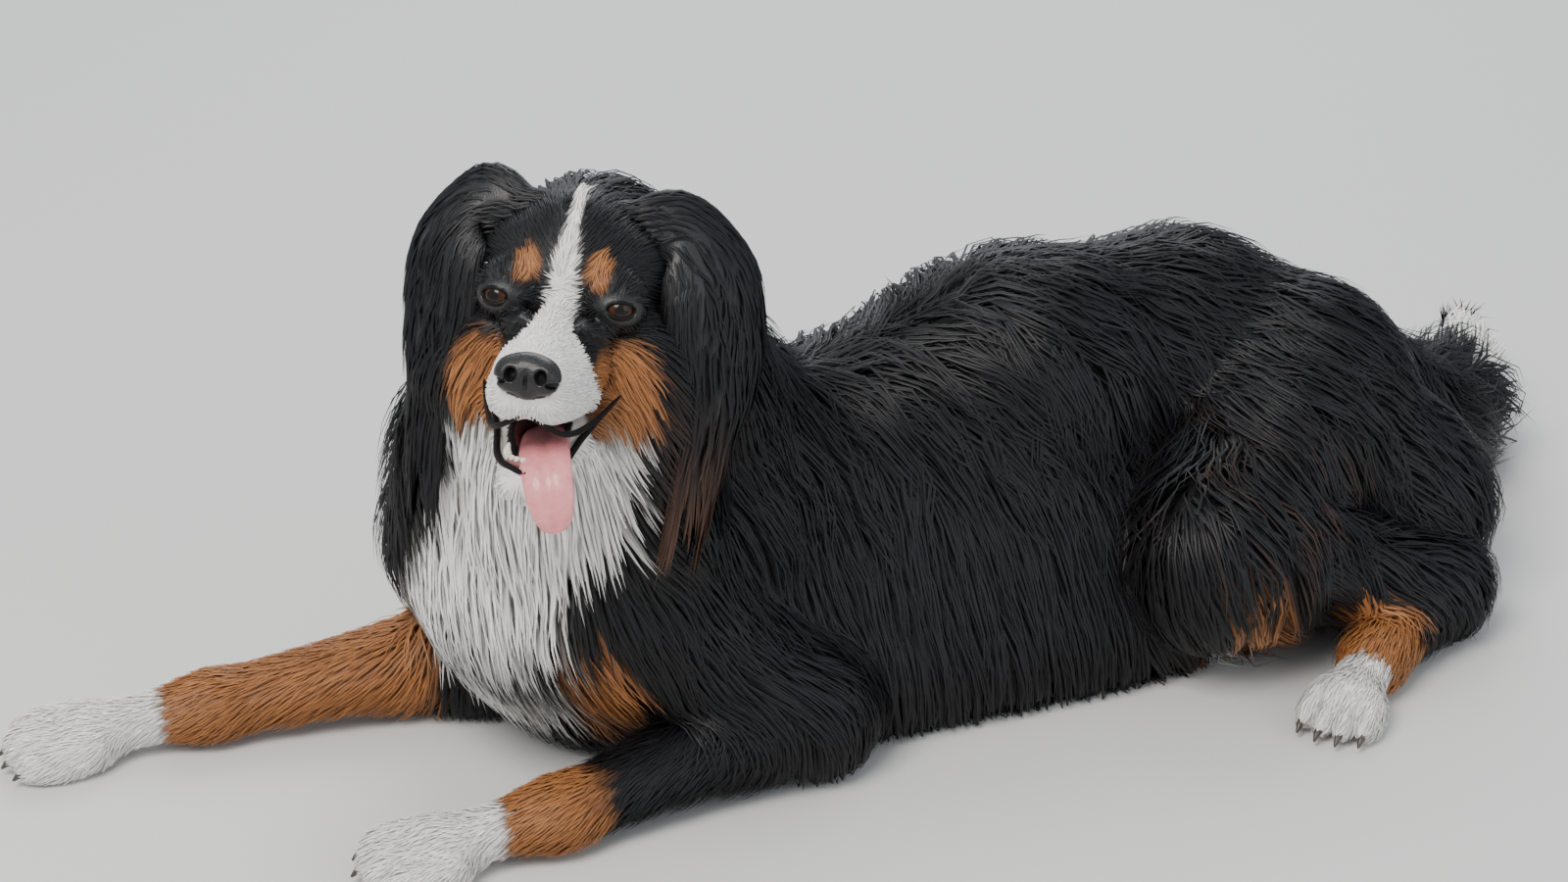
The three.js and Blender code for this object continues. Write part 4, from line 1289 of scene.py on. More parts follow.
    def gathered(self) -> tuple[Roots, Array, Array, Array]:
        """Locks of hair drawn together into bigger locks.

        Returns:
            The roots, the locks' places and directions, and the bigger locks' chances.
        """
        bigger = self.scatter("lock", 1.0)
        turn = (bigger.chance[:, 2] - 0.5) * 0.75 + 0.28 * ripple(bigger.at, 150, 11)
        turn *= smooth(self.value(bigger.mix, "long"), 8, 60) * (0.4 + 0.7 * self.saddle(bigger.at))
        phase = bigger.chance[:, 3] * 6.28
        bigger.chance[:, :2] = 0.55 + 0.4 * bigger.chance[:, :2]
        guide, _ = self.lay(bigger, turn, phase)
        roots = self.scatter("apart", self.sparse)
        tree = KDTree(len(bigger.at))
        for i, at in enumerate(bigger.at):
            tree.insert(Vector(at), i)
        tree.balance()
        nearest = np.array([tree.find(Vector(at))[1] for at in roots.at])
        own = turn[nearest] * 0.85 + (roots.chance[:, 2] - 0.5) * 0.2
        places, normals = self.lay(roots, own, phase[nearest] + (roots.chance[:, 3] - 0.5))
        apart = (roots.at - bigger.at[nearest])[:, None, :]
        t = np.linspace(0, 1, self.rings + 1)[None, :, None]
        target = guide[nearest] + apart * (0.3 + 0.12 * roots.chance[:, 3, None, None])
        lift = (places - target) * normals
        target = target + lift.sum(2, keepdims=True) * normals
        pull = self.value(roots.mix, "gather") * (0.6 + 0.4 * self.saddle(roots.at))
        pull = pull[:, None, None] * smooth(t, 0.02, 1.0)
        reach = self.value(roots.mix, "lock")[:, None, None] * 1.3
        near = np.linalg.norm(apart, axis=2, keepdims=True) < reach
        places = places + pull * near * (target - places)
        return roots, places, normals, bigger.chance[nearest, 2]

    def region(self, roots: Roots) -> Array:
        """The coat piece that each lock belongs to.

        Args:
            roots: The locks' roots.

        Returns:
            The piece's name for each lock.
        """
        best = roots.mix.argmax(1)
        part = np.array(self.names)[best]
        names = np.array([REGIONS.get(name, name) for name in self.names])[best].astype("<U24")
        y_middle = np.interp(roots.at[:, 0], [-370, 0, 330], [-45, 4, 38])
        trunk = part == "trunk"
        aside = roots.at[:, 1] - y_middle
        names[trunk & (np.abs(aside) < 78) & (roots.at[:, 2] > 150)] = "back"
        names[(names == "trunk") & (aside < 0)] = "flank_left"
        names[names == "trunk"] = "flank_right"
        front = names == "neck"
        names[front] = np.where(roots.at[front, 1] < -85, "neck_left", "neck_right")
        return names

    def build(self) -> None:
        """Grows the coat and makes its pieces."""
        self.survey()
        roots, places, normals, lock = self.gathered()
        places[..., 2] = np.maximum(places[..., 2], 2 + 3 * roots.chance[:, 0:1])
        wide = self.value(roots.mix, "wide") * (0.8 + 0.4 * roots.chance[:, 3]) * self.sparse**0.8
        regions = self.region(roots)
        masks = self.marks.all(places[:, 2])
        for region in sorted(set(regions)):
            own = regions == region
            uv = unwrapped(roots.at[own], *AXES[region])
            keep = [0, 1, 3, 4] if region in SHORT else [0, 1, 2, 3, 4]
            path, out = places[own][:, keep], normals[own][:, keep]
            make_locks(f"coat_{region}", path, out, wide[own], masks[own], lock[own], uv, self.finish)


REGIONS = {
    "breast": "neck",
    "skull": "head", "cheek": "head", "muzzle": "face", "jaw": "face",
    "thigh_left": "haunch_left", "shank_left": "haunch_left",
    "thigh_right": "haunch_right", "shank_right": "haunch_right",
    "pastern_left": "hindpaw_left", "pastern_right": "hindpaw_right",
}
AXES = {
    "head": (HEAD.out((60, 0, -30)), HEAD.out((-130, 0, -30))),
    "face": (HEAD.out((110, 0, -62)), HEAD.out((-70, 0, -62))),
    "neck_left": (HEAD.out((-30, 0, -20)), (-330, -50, 100)),
    "neck_right": (HEAD.out((-30, 0, -20)), (-330, -50, 100)),
    "back": ((-420, -42, 100), (440, 40, 100)),
    "flank_left": ((-420, -42, 120), (440, 40, 120)),
    "flank_right": ((-420, -42, 120), (440, 40, 120)),
    "tail": ((360, 40, 150), (690, 220, 70)),
    "ear_left": (HEAD.out(EAR_LINES["left"][1]), HEAD.out((-70, 108, -170))),
    "ear_right": (HEAD.out(EAR_LINES["right"][1]), HEAD.out((-62, -100, -170))),
}
for _side, _j in JOINTS.items():
    AXES[f"haunch_{_side}"] = ((420, _j.hip[1], 140), (60, _j.knee[1], 100))
    AXES[f"upper_arm_{_side}"] = (_j.shoulder, _j.elbow)
    AXES[f"forearm_{_side}"] = (_j.elbow, _j.wrist)
    AXES[f"forepaw_{_side}"] = (_j.wrist, (*_j.toe[:2], 25))
    AXES[f"hindpaw_{_side}"] = (_j.hock, (*_j.hind_toe[:2], 25))


def unwrapped(p: Array, a: Sequence, b: Sequence) -> Array:
    """Places on a sheet rolled round an axis, for the patch of each lock.

    Args:
        p: Roots on the skin.
        a: Start of the axis.
        b: End of the axis.

    Returns:
        A pair from 0 to 1 for each root: round the axis and along it.
    """
    a, b = np.asarray(a, float), np.asarray(b, float)
    along = unit(b - a)
    side = unit(np.cross(along, [0.13, 0.21, 0.97]))
    rel = p - a
    share = (rel @ along) / np.linalg.norm(b - a)
    turn = np.arctan2(rel @ side, rel @ np.cross(along, side)) / (2 * np.pi) + 0.5
    share = (share - share.min()) / max(share.max() - share.min(), 1e-6)
    return np.stack([turn, share], 1) * 0.99 + 0.003


SHORT = ("head", "face", "forearm_left", "forearm_right", *PAWS)
LOCK_TAPER = {3: (0.74, 1.0, 0.52), 4: (0.72, 1.0, 0.86, 0.52)}
PATCH = 0.003
SOFT = 0.5


def make_locks(
    name: str,
    places: Array,
    normals: Array,
    wide: Array,
    masks: Array,
    lock: Array,
    uv: Array,
    finish: "CoatFinish",
) -> None:
    """Makes one coat piece: a thin closed three-sided lock for each row of places.

    Args:
        name: Name of the piece.
        places: Places along each lock, root first and tip last.
        normals: The skin's outward direction at each.
        wide: Width of each lock.
        masks: White, tan and bleached shares of each.
        lock: The chance number of the bigger lock that it belongs to.
        uv: Each lock's place on the unwrapped skin.
        finish: The coat's finish.
    """
    count, rings = len(places), places.shape[1] - 1
    ahead = np.gradient(places, axis=1)
    side = unit(np.cross(ahead, normals))
    out = unit(np.cross(side, ahead))
    taper = np.array(LOCK_TAPER[rings])[None, :, None] * wide[:, None, None]
    body = places[:, :-1]
    left, right = body - side[:, :-1] * taper * 0.5, body + side[:, :-1] * taper * 0.5
    ridge = body + out[:, :-1] * taper * 0.34
    ring = np.stack([left, ridge, right], 2).reshape(count, rings * 3, 3)
    verts = np.concatenate([ring, places[:, -1:]], 1)
    faces = [[0, 2, 1]]
    for i in range(rings - 1):
        for k in range(3):
            a, b, c, d = i * 3 + k, i * 3 + (k + 1) % 3, (i + 1) * 3 + (k + 1) % 3, (i + 1) * 3 + k
            faces += [[a, b, c], [a, c, d]]
    last = (rings - 1) * 3
    faces += [[last + k, last + (k + 1) % 3, rings * 3] for k in range(3)]
    faces = np.array(faces)
    per_lock = rings * 3 + 1
    all_faces = (np.arange(count)[:, None, None] * per_lock + faces).reshape(-1, 3)
    thing = add_mesh(name, verts.reshape(-1, 3), all_faces)
    along = np.concatenate([np.repeat(np.arange(rings), 3) / rings, [1.0]])
    across = np.concatenate([np.tile([0.0, 0.5, 1.0], rings), [0.5]])
    rng = np.random.default_rng(SEED + len(name))
    chance = np.repeat(rng.uniform(0, 1, count), per_lock)
    strand = np.stack([np.tile(along, count), chance, np.repeat(lock, per_lock)], 1)
    add_values(thing, "Strand", strand)
    add_values(thing, "Marking", np.repeat(masks, per_lock, axis=0))
    patch = np.stack([across, along], 1)[None] * PATCH + uv[:, None, :]
    layer = thing.data.uv_layers.new(name="OFBake")
    layer.data.foreach_set("uv", patch.reshape(-1, 2)[all_faces.ravel()].astype(np.float32).ravel())
    finish.dress(thing)
    facing = np.stack([out[:, :-1] * 0.6 - side[:, :-1], out[:, :-1], out[:, :-1] * 0.6 + side[:, :-1]], 2)
    facing = np.concatenate([facing.reshape(count, rings * 3, 3), out[:, -1:]], 1)
    skinward = np.concatenate([np.repeat(normals[:, :-1], 3, axis=1), normals[:, -1:]], 1)
    soft = unit(unit(facing) * (1 - SOFT) + skinward * SOFT)
    thing.data.normals_split_custom_set_from_vertices(soft.reshape(-1, 3).astype(np.float32))
    log.info("%s: %d locks, %d triangles", name, count, len(all_faces))


@dataclass
class Ear:
    """A hanging ear: a flat leaf of skin with long hair over both faces and past its tip."""

    side: str
    wides: tuple = (22, 35, 44, 43, 33, 10)
    thicks: tuple = (10, 8, 6, 5, 4.5, 3)
    apart: float = 3.7
    long: float = 46
    wide: float = 2.8
    rings: int = 4

    def __post_init__(self) -> None:
        """Makes the leaf that the hair grows on."""
        s = SIDES[self.side]
        line = Curve([HEAD.out(p) for p in EAR_LINES[self.side]])
        out = HEAD.way(0.68, s * 0.72, 0.12)
        self.leaf = Sweep(line, self.wides, self.thicks, out, dish=0.16, sides=28, steps=40)

    def grow(self, marks: Markings, finish: "CoatFinish") -> None:
        """Lays the ear's hair from its base to past its tip.

        Args:
            marks: The coat's markings.
            finish: The hair's finish.
        """
        rng = np.random.default_rng(SEED + SIDES[self.side])
        apart = self.apart * 1.0
        count = int(self.leaf.line.long * 4 * np.mean(self.wides) / apart**2)
        t0 = (np.arange(count) + rng.uniform(0, 1, count)) / count * 1.08 - 0.08
        around = rng.uniform(0, 2 * np.pi, count)
        around += 0.35 * np.sin(2 * around)
        cell = np.floor(t0 * 9) * 17 + np.floor(around / 0.45) * 3
        chance = np.abs(np.sin(cell * 12.9898)) * 43758.5453 % 1
        long = self.long * (0.7 + 0.5 * rng.uniform(0, 1, count)) * (0.55 + 0.75 * t0)
        long = long * (1 + 0.5 * np.abs(np.sin(around)) * t0)
        height = rng.uniform(2.5, 8.5, count) * (0.6 + 0.5 * t0)
        places, normals = [], []
        for i in range(self.rings + 1):
            s = i / self.rings
            t = t0 + long * s / self.leaf.line.long
            turn = around + (chance - 0.5) * 0.5 * s + 0.05 * np.sin(chance * 40 + s * 5)
            frozen = np.minimum(t, 0.9)
            over = height * s**0.7 - 1.5 * (1 - s)
            _, side, face = self.leaf.axes(frozen)
            knots = np.linspace(0, 1, len(self.wides))
            broad = np.interp(frozen, knots, self.wides) * (1 - 0.45 * smooth(t, 0.85, 1.35)) + over
            thick = np.interp(frozen, knots, self.thicks) * (1 - 0.4 * smooth(t, 0.9, 1.3)) + over
            x, z = np.sin(turn), np.cos(turn)
            dish = x * x * (broad - over) * self.leaf.dish
            at = self.leaf.line.point(t) + (x * broad)[:, None] * side + (z * thick - dish)[:, None] * face
            places.append(at + np.array([0, 0, -1.0]) * (5 * s * s))
            normals.append(unit(x[:, None] * side + (z * 2.2)[:, None] * face))
        places, normals = np.stack(places, 1), np.stack(normals, 1)
        wide = self.wide * rng.uniform(0.8, 1.2, count) * 1.0
        name = f"ear_{self.side}"
        masks = marks.all(places[:, 0])
        masks[:, :2] = 0
        uv = unwrapped(places[:, 0], *AXES[name])
        make_locks(f"coat_{name}", places, normals, wide, masks, chance, uv, finish)


class Tree:
    """A material's or group's nodes, made and joined in short calls."""

    def __init__(self, tree: bpy.types.NodeTree) -> None:
        """Keeps the tree that the nodes go into."""
        self.tree = tree

    def node(self, kind: str, feeds: dict | None = None, **settings: object) -> bpy.types.Node:
        """Adds a node, sets its options and feeds its inputs with values or other nodes' outputs.

        Args:
            kind: The node's kind.
            feeds: Values or outputs by the names of the inputs.
            **settings: The node's options.

        Returns:
            The node.
        """
        made = self.tree.nodes.new(kind)
        for key, value in settings.items():
            setattr(made, key, value)
        for key, value in (feeds or {}).items():
            self.feed(made.inputs[key], value)
        return made

    def feed(self, socket: bpy.types.NodeSocket, value: object) -> None:
        """Joins an output to an input, or sets the input's value.

        Args:
            socket: The input.
            value: An output or a value.
        """
        if isinstance(value, bpy.types.NodeSocket):
            self.tree.links.new(value, socket)
        elif isinstance(value, tuple) and len(value) == 3 and socket.type == "RGBA":
            socket.default_value = (*value, 1.0)
        else:
            socket.default_value = value

    def mix(self, share: object, a: object, b: object) -> bpy.types.NodeSocket:
        """Two colours mixed by a share.

        Args:
            share: The share of the second.
            a: The first colour.
            b: The second colour.

        Returns:
            The mixed colour.
        """
        made = self.node("ShaderNodeMix", data_type="RGBA")
        for socket, value in zip([made.inputs[0], made.inputs[6], made.inputs[7]], [share, a, b]):
            self.feed(socket, value)
        return made.outputs[2]

    def math(self, kind: str, a: object, b: object = 0.0, clamp: bool = False) -> bpy.types.NodeSocket:
        """A sum of two values."""
        return self.node("ShaderNodeMath", {0: a, 1: b}, operation=kind, use_clamp=clamp).outputs[0]

    def noise(self, where: object, scale: float, detail: float = 3.0) -> bpy.types.NodeSocket:
        """A value that wanders over the surface."""
        return self.node("ShaderNodeTexNoise", {"Vector": where, "Scale": scale, "Detail": detail}).outputs[0]

    def stored(self, name: str) -> bpy.types.Node:
        """Numbers stored on the mesh."""
        return self.node("ShaderNodeAttribute", attribute_name=name)


def place_of(tree: Tree) -> bpy.types.NodeSocket:
    """Where on the object the surface is."""
    return tree.node("ShaderNodeTexCoord").outputs["Object"]


def new_material(name: str) -> tuple[bpy.types.Material, Tree, bpy.types.Node]:
    """An empty material with its main shader.

    Args:
        name: The material's name.

    Returns:
        The material, its nodes and its main shader.
    """
    material = bpy.data.materials.new(name)
    material.use_nodes = True
    return material, Tree(material.node_tree), material.node_tree.nodes["Principled BSDF"]


def new_group(
    name: str, inputs: dict[str, str], outputs: dict[str, str]
) -> tuple[bpy.types.NodeTree, Tree, dict, object]:
    """A shader group with named sockets.

    Args:
        name: Name of the group.
        inputs: Kind of each input by name.
        outputs: Kind of each output by name.

    Returns:
        The group, its nodes, its inputs' sockets by name and its end.
    """
    group = bpy.data.node_groups.new(name, "ShaderNodeTree")
    for way, sockets in (("INPUT", inputs), ("OUTPUT", outputs)):
        for socket, kind in sockets.items():
            group.interface.new_socket(socket, in_out=way, socket_type=kind)
    tree = Tree(group)
    start, end = tree.node("NodeGroupInput"), tree.node("NodeGroupOutput")
    return group, tree, start.outputs, end.inputs


class Hue(Enum):
    """Colours of the hair at its root and its tip."""

    BLACK = ((0.003, 0.003, 0.0035), (0.0095, 0.0095, 0.011))
    WHITE = ((0.62, 0.585, 0.54), (0.90, 0.885, 0.85))
    TAN = ((0.17, 0.060, 0.018), (0.40, 0.165, 0.058))
    RUST = ((0.030, 0.013, 0.008), (0.135, 0.060, 0.032))


@dataclass(frozen=True)
class CoatFinish:
    """The hair: black, white, tan and sun-bleached brown by the markings, paler to the tips."""

    name: str = "coat_hair"
    rough: float = 0.40

    def tone(self) -> bpy.types.NodeTree:
        """The group that colours hair from its marking, its share of length and its chance.

        Returns:
            The group.
        """
        made = bpy.data.node_groups.get("hair_tone")
        if made:
            return made
        made, tree, start, end = new_group(
            "hair_tone",
            {"Marking": "NodeSocketColor", "Along": "NodeSocketFloat", "Chance": "NodeSocketFloat"},
            {"Color": "NodeSocketColor", "Roughness": "NodeSocketFloat"},
        )
        shares = tree.node("ShaderNodeSeparateColor", {0: start["Marking"]}).outputs
        along = start["Along"]
        hues = (Hue.BLACK, Hue.WHITE, Hue.TAN, Hue.RUST)
        black, white, tan, rust = [tree.mix(along, *hue.value) for hue in hues]
        colour = tree.mix(tree.math("MULTIPLY", shares[2], along), black, rust)
        colour = tree.mix(shares[1], colour, tan)
        colour = tree.mix(shares[0], colour, white)
        shade = tree.math("MULTIPLY_ADD", start["Chance"], 0.5)
        shade.node.inputs[2].default_value = 0.72
        colour = tree.node("ShaderNodeVectorMath", {0: colour, 1: shade}, operation="MULTIPLY").outputs[0]
        tree.feed(end["Color"], colour)
        rough = tree.math("MULTIPLY_ADD", shares[0], 0.22)
        rough.node.inputs[2].default_value = self.rough
        tree.feed(end["Roughness"], tree.math("ADD", rough, tree.math("MULTIPLY", start["Chance"], 0.08)))
        return made

    def material(self) -> bpy.types.Material:
        """The hair's material, made once.

        Returns:
            The material.
        """
        made = bpy.data.materials.get(self.name)
        if made:
            return made
        made, tree, shader = new_material(self.name)
        strand = tree.node("ShaderNodeSeparateColor", {0: tree.stored("Strand").outputs["Color"]}).outputs
        chance = tree.math("ADD", tree.math("MULTIPLY", strand[1], 0.6), tree.math("MULTIPLY", strand[2], 0.4))
        tone = tree.node("ShaderNodeGroup", node_tree=self.tone())
        tree.feed(tone.inputs["Marking"], tree.stored("Marking").outputs["Color"])
        tree.feed(tone.inputs["Along"], strand[0])
        tree.feed(tone.inputs["Chance"], chance)
        tree.feed(shader.inputs["Base Color"], tone.outputs["Color"])
        tree.feed(shader.inputs["Roughness"], tone.outputs["Roughness"])
        shader.inputs["Specular IOR Level"].default_value = 0.25
        return made

    def dress(self, thing: bpy.types.Object) -> None:
        """Puts the hair's finish on a piece.

        Args:
            thing: The piece.
        """
        thing.data.materials.append(self.material())


@dataclass(frozen=True)
class SkinFinish:
    """The skin under the hair in the hair's own colours, with short flat hair as bump."""

    name: str = "coat_skin"

    def material(self) -> bpy.types.Material:
        """The skin's material.

        Returns:
            The material.
        """
        made, tree, shader = new_material(self.name)
        where = place_of(tree)
        streaks = tree.node("ShaderNodeMapping", {0: where, "Scale": (1.0, 1.0, 0.3)}).outputs[0]
        fine = tree.noise(streaks, 900, 4)
        tone = tree.node("ShaderNodeGroup", node_tree=CoatFinish().tone())
        tree.feed(tone.inputs["Marking"], tree.stored("Marking").outputs["Color"])
        tree.feed(tone.inputs["Along"], tree.math("MULTIPLY", fine, 0.5))
        tree.feed(tone.inputs["Chance"], tree.noise(where, 160))
        bare = tree.node("ShaderNodeSeparateColor", {0: tree.stored("Bare").outputs["Color"]}).outputs
        flesh = tree.mix(bare[1], (0.006, 0.005, 0.005), (0.16, 0.045, 0.05))
        tree.feed(shader.inputs["Base Color"], tree.mix(bare[0], tone.outputs["Color"], flesh))
        tree.feed(shader.inputs["Roughness"], tone.outputs["Roughness"])
        bump = tree.node("ShaderNodeBump", {"Height": fine, "Strength": 0.5, "Distance": 0.0008})
        tree.feed(shader.inputs["Normal"], bump.outputs[0])
        return made


@dataclass(frozen=True)
class WetFinish:
    """Bare wet or smooth stuff: leather of the nose and lips, tongue, gum, teeth and claws."""

    name: str
    slot: str
    dark: tuple
    pale: tuple
    rough: float
    grain: float
    deep: float
    coat: float = 0.0
    cells: bool = False
    under: float = 0.0
    shine: float = 0.5

    def dress(self, thing: bpy.types.Object) -> None:
        """Puts the finish on a piece.

        Args:
            thing: The piece.
        """
        made = bpy.data.materials.get(self.name) or self.material()
        thing.data.materials.append(made)

    def material(self) -> bpy.types.Material:
        """The material.

        Returns:
            The material.
        """
        made, tree, shader = new_material(self.name)
        where = place_of(tree)
        wander = tree.noise(where, self.grain * 0.12, 4)
        if self.cells:
            pebbles = tree.node("ShaderNodeTexVoronoi", {"Vector": where, "Scale": self.grain})
            height = pebbles.outputs["Distance"]
        else:
            height = tree.noise(where, self.grain, 4)
        tree.feed(shader.inputs["Base Color"], tree.mix(wander, self.dark, self.pale))
        rough = tree.math("MULTIPLY_ADD", height, 0.18)
        rough.node.inputs[2].default_value = self.rough
        tree.feed(shader.inputs["Roughness"], rough)
        bump = tree.node("ShaderNodeBump", {"Height": height, "Strength": 0.7, "Distance": self.deep * MM})
        tree.feed(shader.inputs["Normal"], bump.outputs[0])
        shader.inputs["Specular IOR Level"].default_value = self.shine
        shader.inputs["Coat Weight"].default_value = self.coat
        shader.inputs["Coat Roughness"].default_value = 0.12
        shader.inputs["Subsurface Weight"].default_value = self.under
        shader.inputs["Subsurface Radius"].default_value = (0.004, 0.0015, 0.001)
        shader.inputs["Subsurface Scale"].default_value = 1.0
        return made


LEATHER = WetFinish(
    "nose_pebbled", "nose_leather", (0.005, 0.005, 0.0055), (0.016, 0.014, 0.015),
    0.32, 850, 0.35, 0.2, True, shine=0.3,
)
LIP = WetFinish(
    "lip_leather", "nose_leather", (0.004, 0.0035, 0.0035), (0.012, 0.009, 0.009),
    0.4, 500, 0.25, 0.04, shine=0.1,
)
TONGUE = WetFinish(
    "tongue_wet", "tongue", (0.56, 0.15, 0.16), (0.78, 0.31, 0.32), 0.26, 1400, 0.22, 0.35, True, 0.12,
)
GUM = WetFinish("gum_wet", "tongue", (0.10, 0.035, 0.035), (0.32, 0.12, 0.12), 0.25, 500, 0.15, 0.4)
TOOTH = WetFinish("tooth_ivory", "teeth", (0.62, 0.55, 0.42), (0.80, 0.76, 0.66), 0.2, 260, 0.05, 0.3)
HORN = WetFinish("claw_horn", "claw", (0.018, 0.013, 0.010), (0.085, 0.062, 0.045), 0.33, 420, 0.12, 0.2)


@dataclass(frozen=True)
class EyeFinish:
    """A wet eye: pupil, brown iris, dark rim and a little white, by the angle from where it looks."""

    name: str = "eye_wet"

    def dress(self, thing: bpy.types.Object) -> None:
        """Puts the finish on an eye."""
        thing.data.materials.append(bpy.data.materials.get(self.name) or self.material())

    def material(self) -> bpy.types.Material:
        """The material.

        Returns:
            The material.
        """
        made, tree, shader = new_material(self.name)
        gaze = tree.stored("Gaze").outputs
        shares = tree.node("ShaderNodeSeparateColor", {0: gaze["Color"]}).outputs
        feeds = {"Vector": gaze["Color"], "Scale": 30, "Distortion": 6, "Detail": 3}
        fibres = tree.node("ShaderNodeTexWave", feeds).outputs[1]
        ramp = tree.node("ShaderNodeValToRGB", {0: shares[0]})
        stops = [(0.0, (0.002, 0.002, 0.002)), (0.36, (0.003, 0.002, 0.002)), (0.42, (0.024, 0.009, 0.003)),
                 (0.74, (0.055, 0.021, 0.007)), (0.86, (0.010, 0.005, 0.003)),
                 (0.95, (0.05, 0.035, 0.03)), (1.0, (0.12, 0.09, 0.08))]
        for i, (at, colour) in enumerate(stops):
            stop = ramp.color_ramp.elements[i] if i < 2 else ramp.color_ramp.elements.new(at)
            stop.position, stop.color = at, (*colour, 1)
        colour = tree.mix(tree.math("MULTIPLY", fibres, 0.35), ramp.outputs[0], (0.02, 0.008, 0.004))
        tree.feed(shader.inputs["Base Color"], colour)
        shader.inputs["Roughness"].default_value = 0.3
        shader.inputs["Specular IOR Level"].default_value = 0.08
        shader.inputs["Coat Weight"].default_value = 0.4
        shader.inputs["Coat Roughness"].default_value = 0.03
        return made


@dataclass
class Eye:
    """One eye: the ball with its cornea, and the dark rim of its lids."""

    s: int
    radius: float = EYE_RADIUS
    iris: float = 42.0
    rim: float = 1.35

    def build(self, name: str) -> None:
        """Makes the ball and its lids' rim.

        Args:
            name: The eye's name.
        """
        frame = eye_frame(self.s)
        rings, sides = 40, 40
        turns = np.arange(sides) / sides * 2 * np.pi
        lean, around = np.meshgrid(np.linspace(0, np.pi, rings + 1), turns, indexing="ij")
        dome = 0.9 * (1 - smooth(np.degrees(lean), 14, self.iris + 8))
        r = self.radius + dome
        off = r * np.sin(lean)
        local = np.stack([r * np.cos(lean), off * np.cos(around), off * np.sin(around)], -1)
        verts = frame.out(local.reshape(-1, 3))
        i, j = np.meshgrid(np.arange(rings), np.arange(sides), indexing="ij")
        k = (j + 1) % sides
        corners = [i * sides + j, (i + 1) * sides + j, (i + 1) * sides + k, i * sides + k]
        ball = add_mesh(f"eyeball_{name}", verts, np.stack([c.ravel() for c in corners], 1))
        share = np.clip(np.degrees(lean) / (self.iris * 1.25), 0, 1).ravel()
        spin = (0.5 + 0.5 * np.cos(around)).ravel()
        add_values(ball, "Gaze", np.stack([share, spin, (0.5 + 0.5 * np.sin(around)).ravel()], 1))
        EyeFinish().dress(ball)
        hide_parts(f"eye_{name}")
        self.lid_rim(frame, name)

    def lid_rim(self, frame: Frame, name: str) -> None:
        """A dark bare rim round the opening.

        Args:
            frame: The eye's frame.
            name: The eye's name.
        """
        turn = np.linspace(0, 2 * np.pi, 64, endpoint=False)
        y, z = 10.9 * np.cos(turn), np.where(np.sin(turn) > 0, 6.3, 5.6) * np.sin(turn)
        z = z + 0.36 * (y / 10.9) ** 2
        x = np.sqrt(np.maximum((self.radius + 0.8) ** 2 - y * y - z * z, 1))
        loop = np.stack([x, y, z], 1)
        ahead = unit(np.roll(loop, -1, 0) - np.roll(loop, 1, 0))
        out = unit(loop)
        side = np.cross(ahead, out)
        ring = np.arange(8) / 8 * 2 * np.pi
        across = np.cos(ring)[None, :, None] * out[:, None]
        tube = loop[:, None] + self.rim * (across + 1.25 * np.sin(ring)[None, :, None] * side[:, None])
        verts = frame.out(tube.reshape(-1, 3))
        i, j = np.meshgrid(np.arange(64), np.arange(8), indexing="ij")
        a, b = (i + 1) % 64, (j + 1) % 8
        faces = np.stack([c.ravel() for c in (i * 8 + j, a * 8 + j, a * 8 + b, i * 8 + b)], 1)
        rim = add_mesh(f"lid_rim_{name}", verts, faces)
        LIP.dress(rim)


@dataclass
class Nose:
    """The nose leather with its nostrils and the groove under it."""

    step: float = 1.0

    def form(self) -> Form:
        """The pad with the nostrils cut in it.

        Returns:
            The form.
        """
        at = shifted(HEAD, *NOSE_AT)

        def egg(place: tuple, radii: tuple) -> Egg:
            """An egg in the nose's frame."""
            return Egg(shifted(at, *place), radii)

        pad = [egg((-1, 0, 1), (12, 21, 14.5)), egg((-3, 0, -10), (10, 10, 8))]
        pad += [egg((2, s * 12.5, -1), (10.5, 10.5, 11.5)) for s in (1, -1)]
        cuts = [egg((13, s * 10.5, 0.5), (11, 4.2, 5.2)) for s in (1, -1)]
        cuts += [egg((7, s * 20, -5), (10, 6.5, 2.3)) for s in (1, -1)]
        cuts.append(egg((12, 0, -9), (5, 1.3, 12)))
        return Joined(pad, 5, cuts, 2.2)

    def build(self) -> None:
        """Makes the nose."""
        patch = Patch(shifted(HEAD, *NOSE_AT), (-18, -27, -22), (18, 27, 20), self.step)
        nose = add_mesh("nose_pad", *patch.mesh(self.form()))
        LEATHER.dress(nose)
        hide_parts("nose")


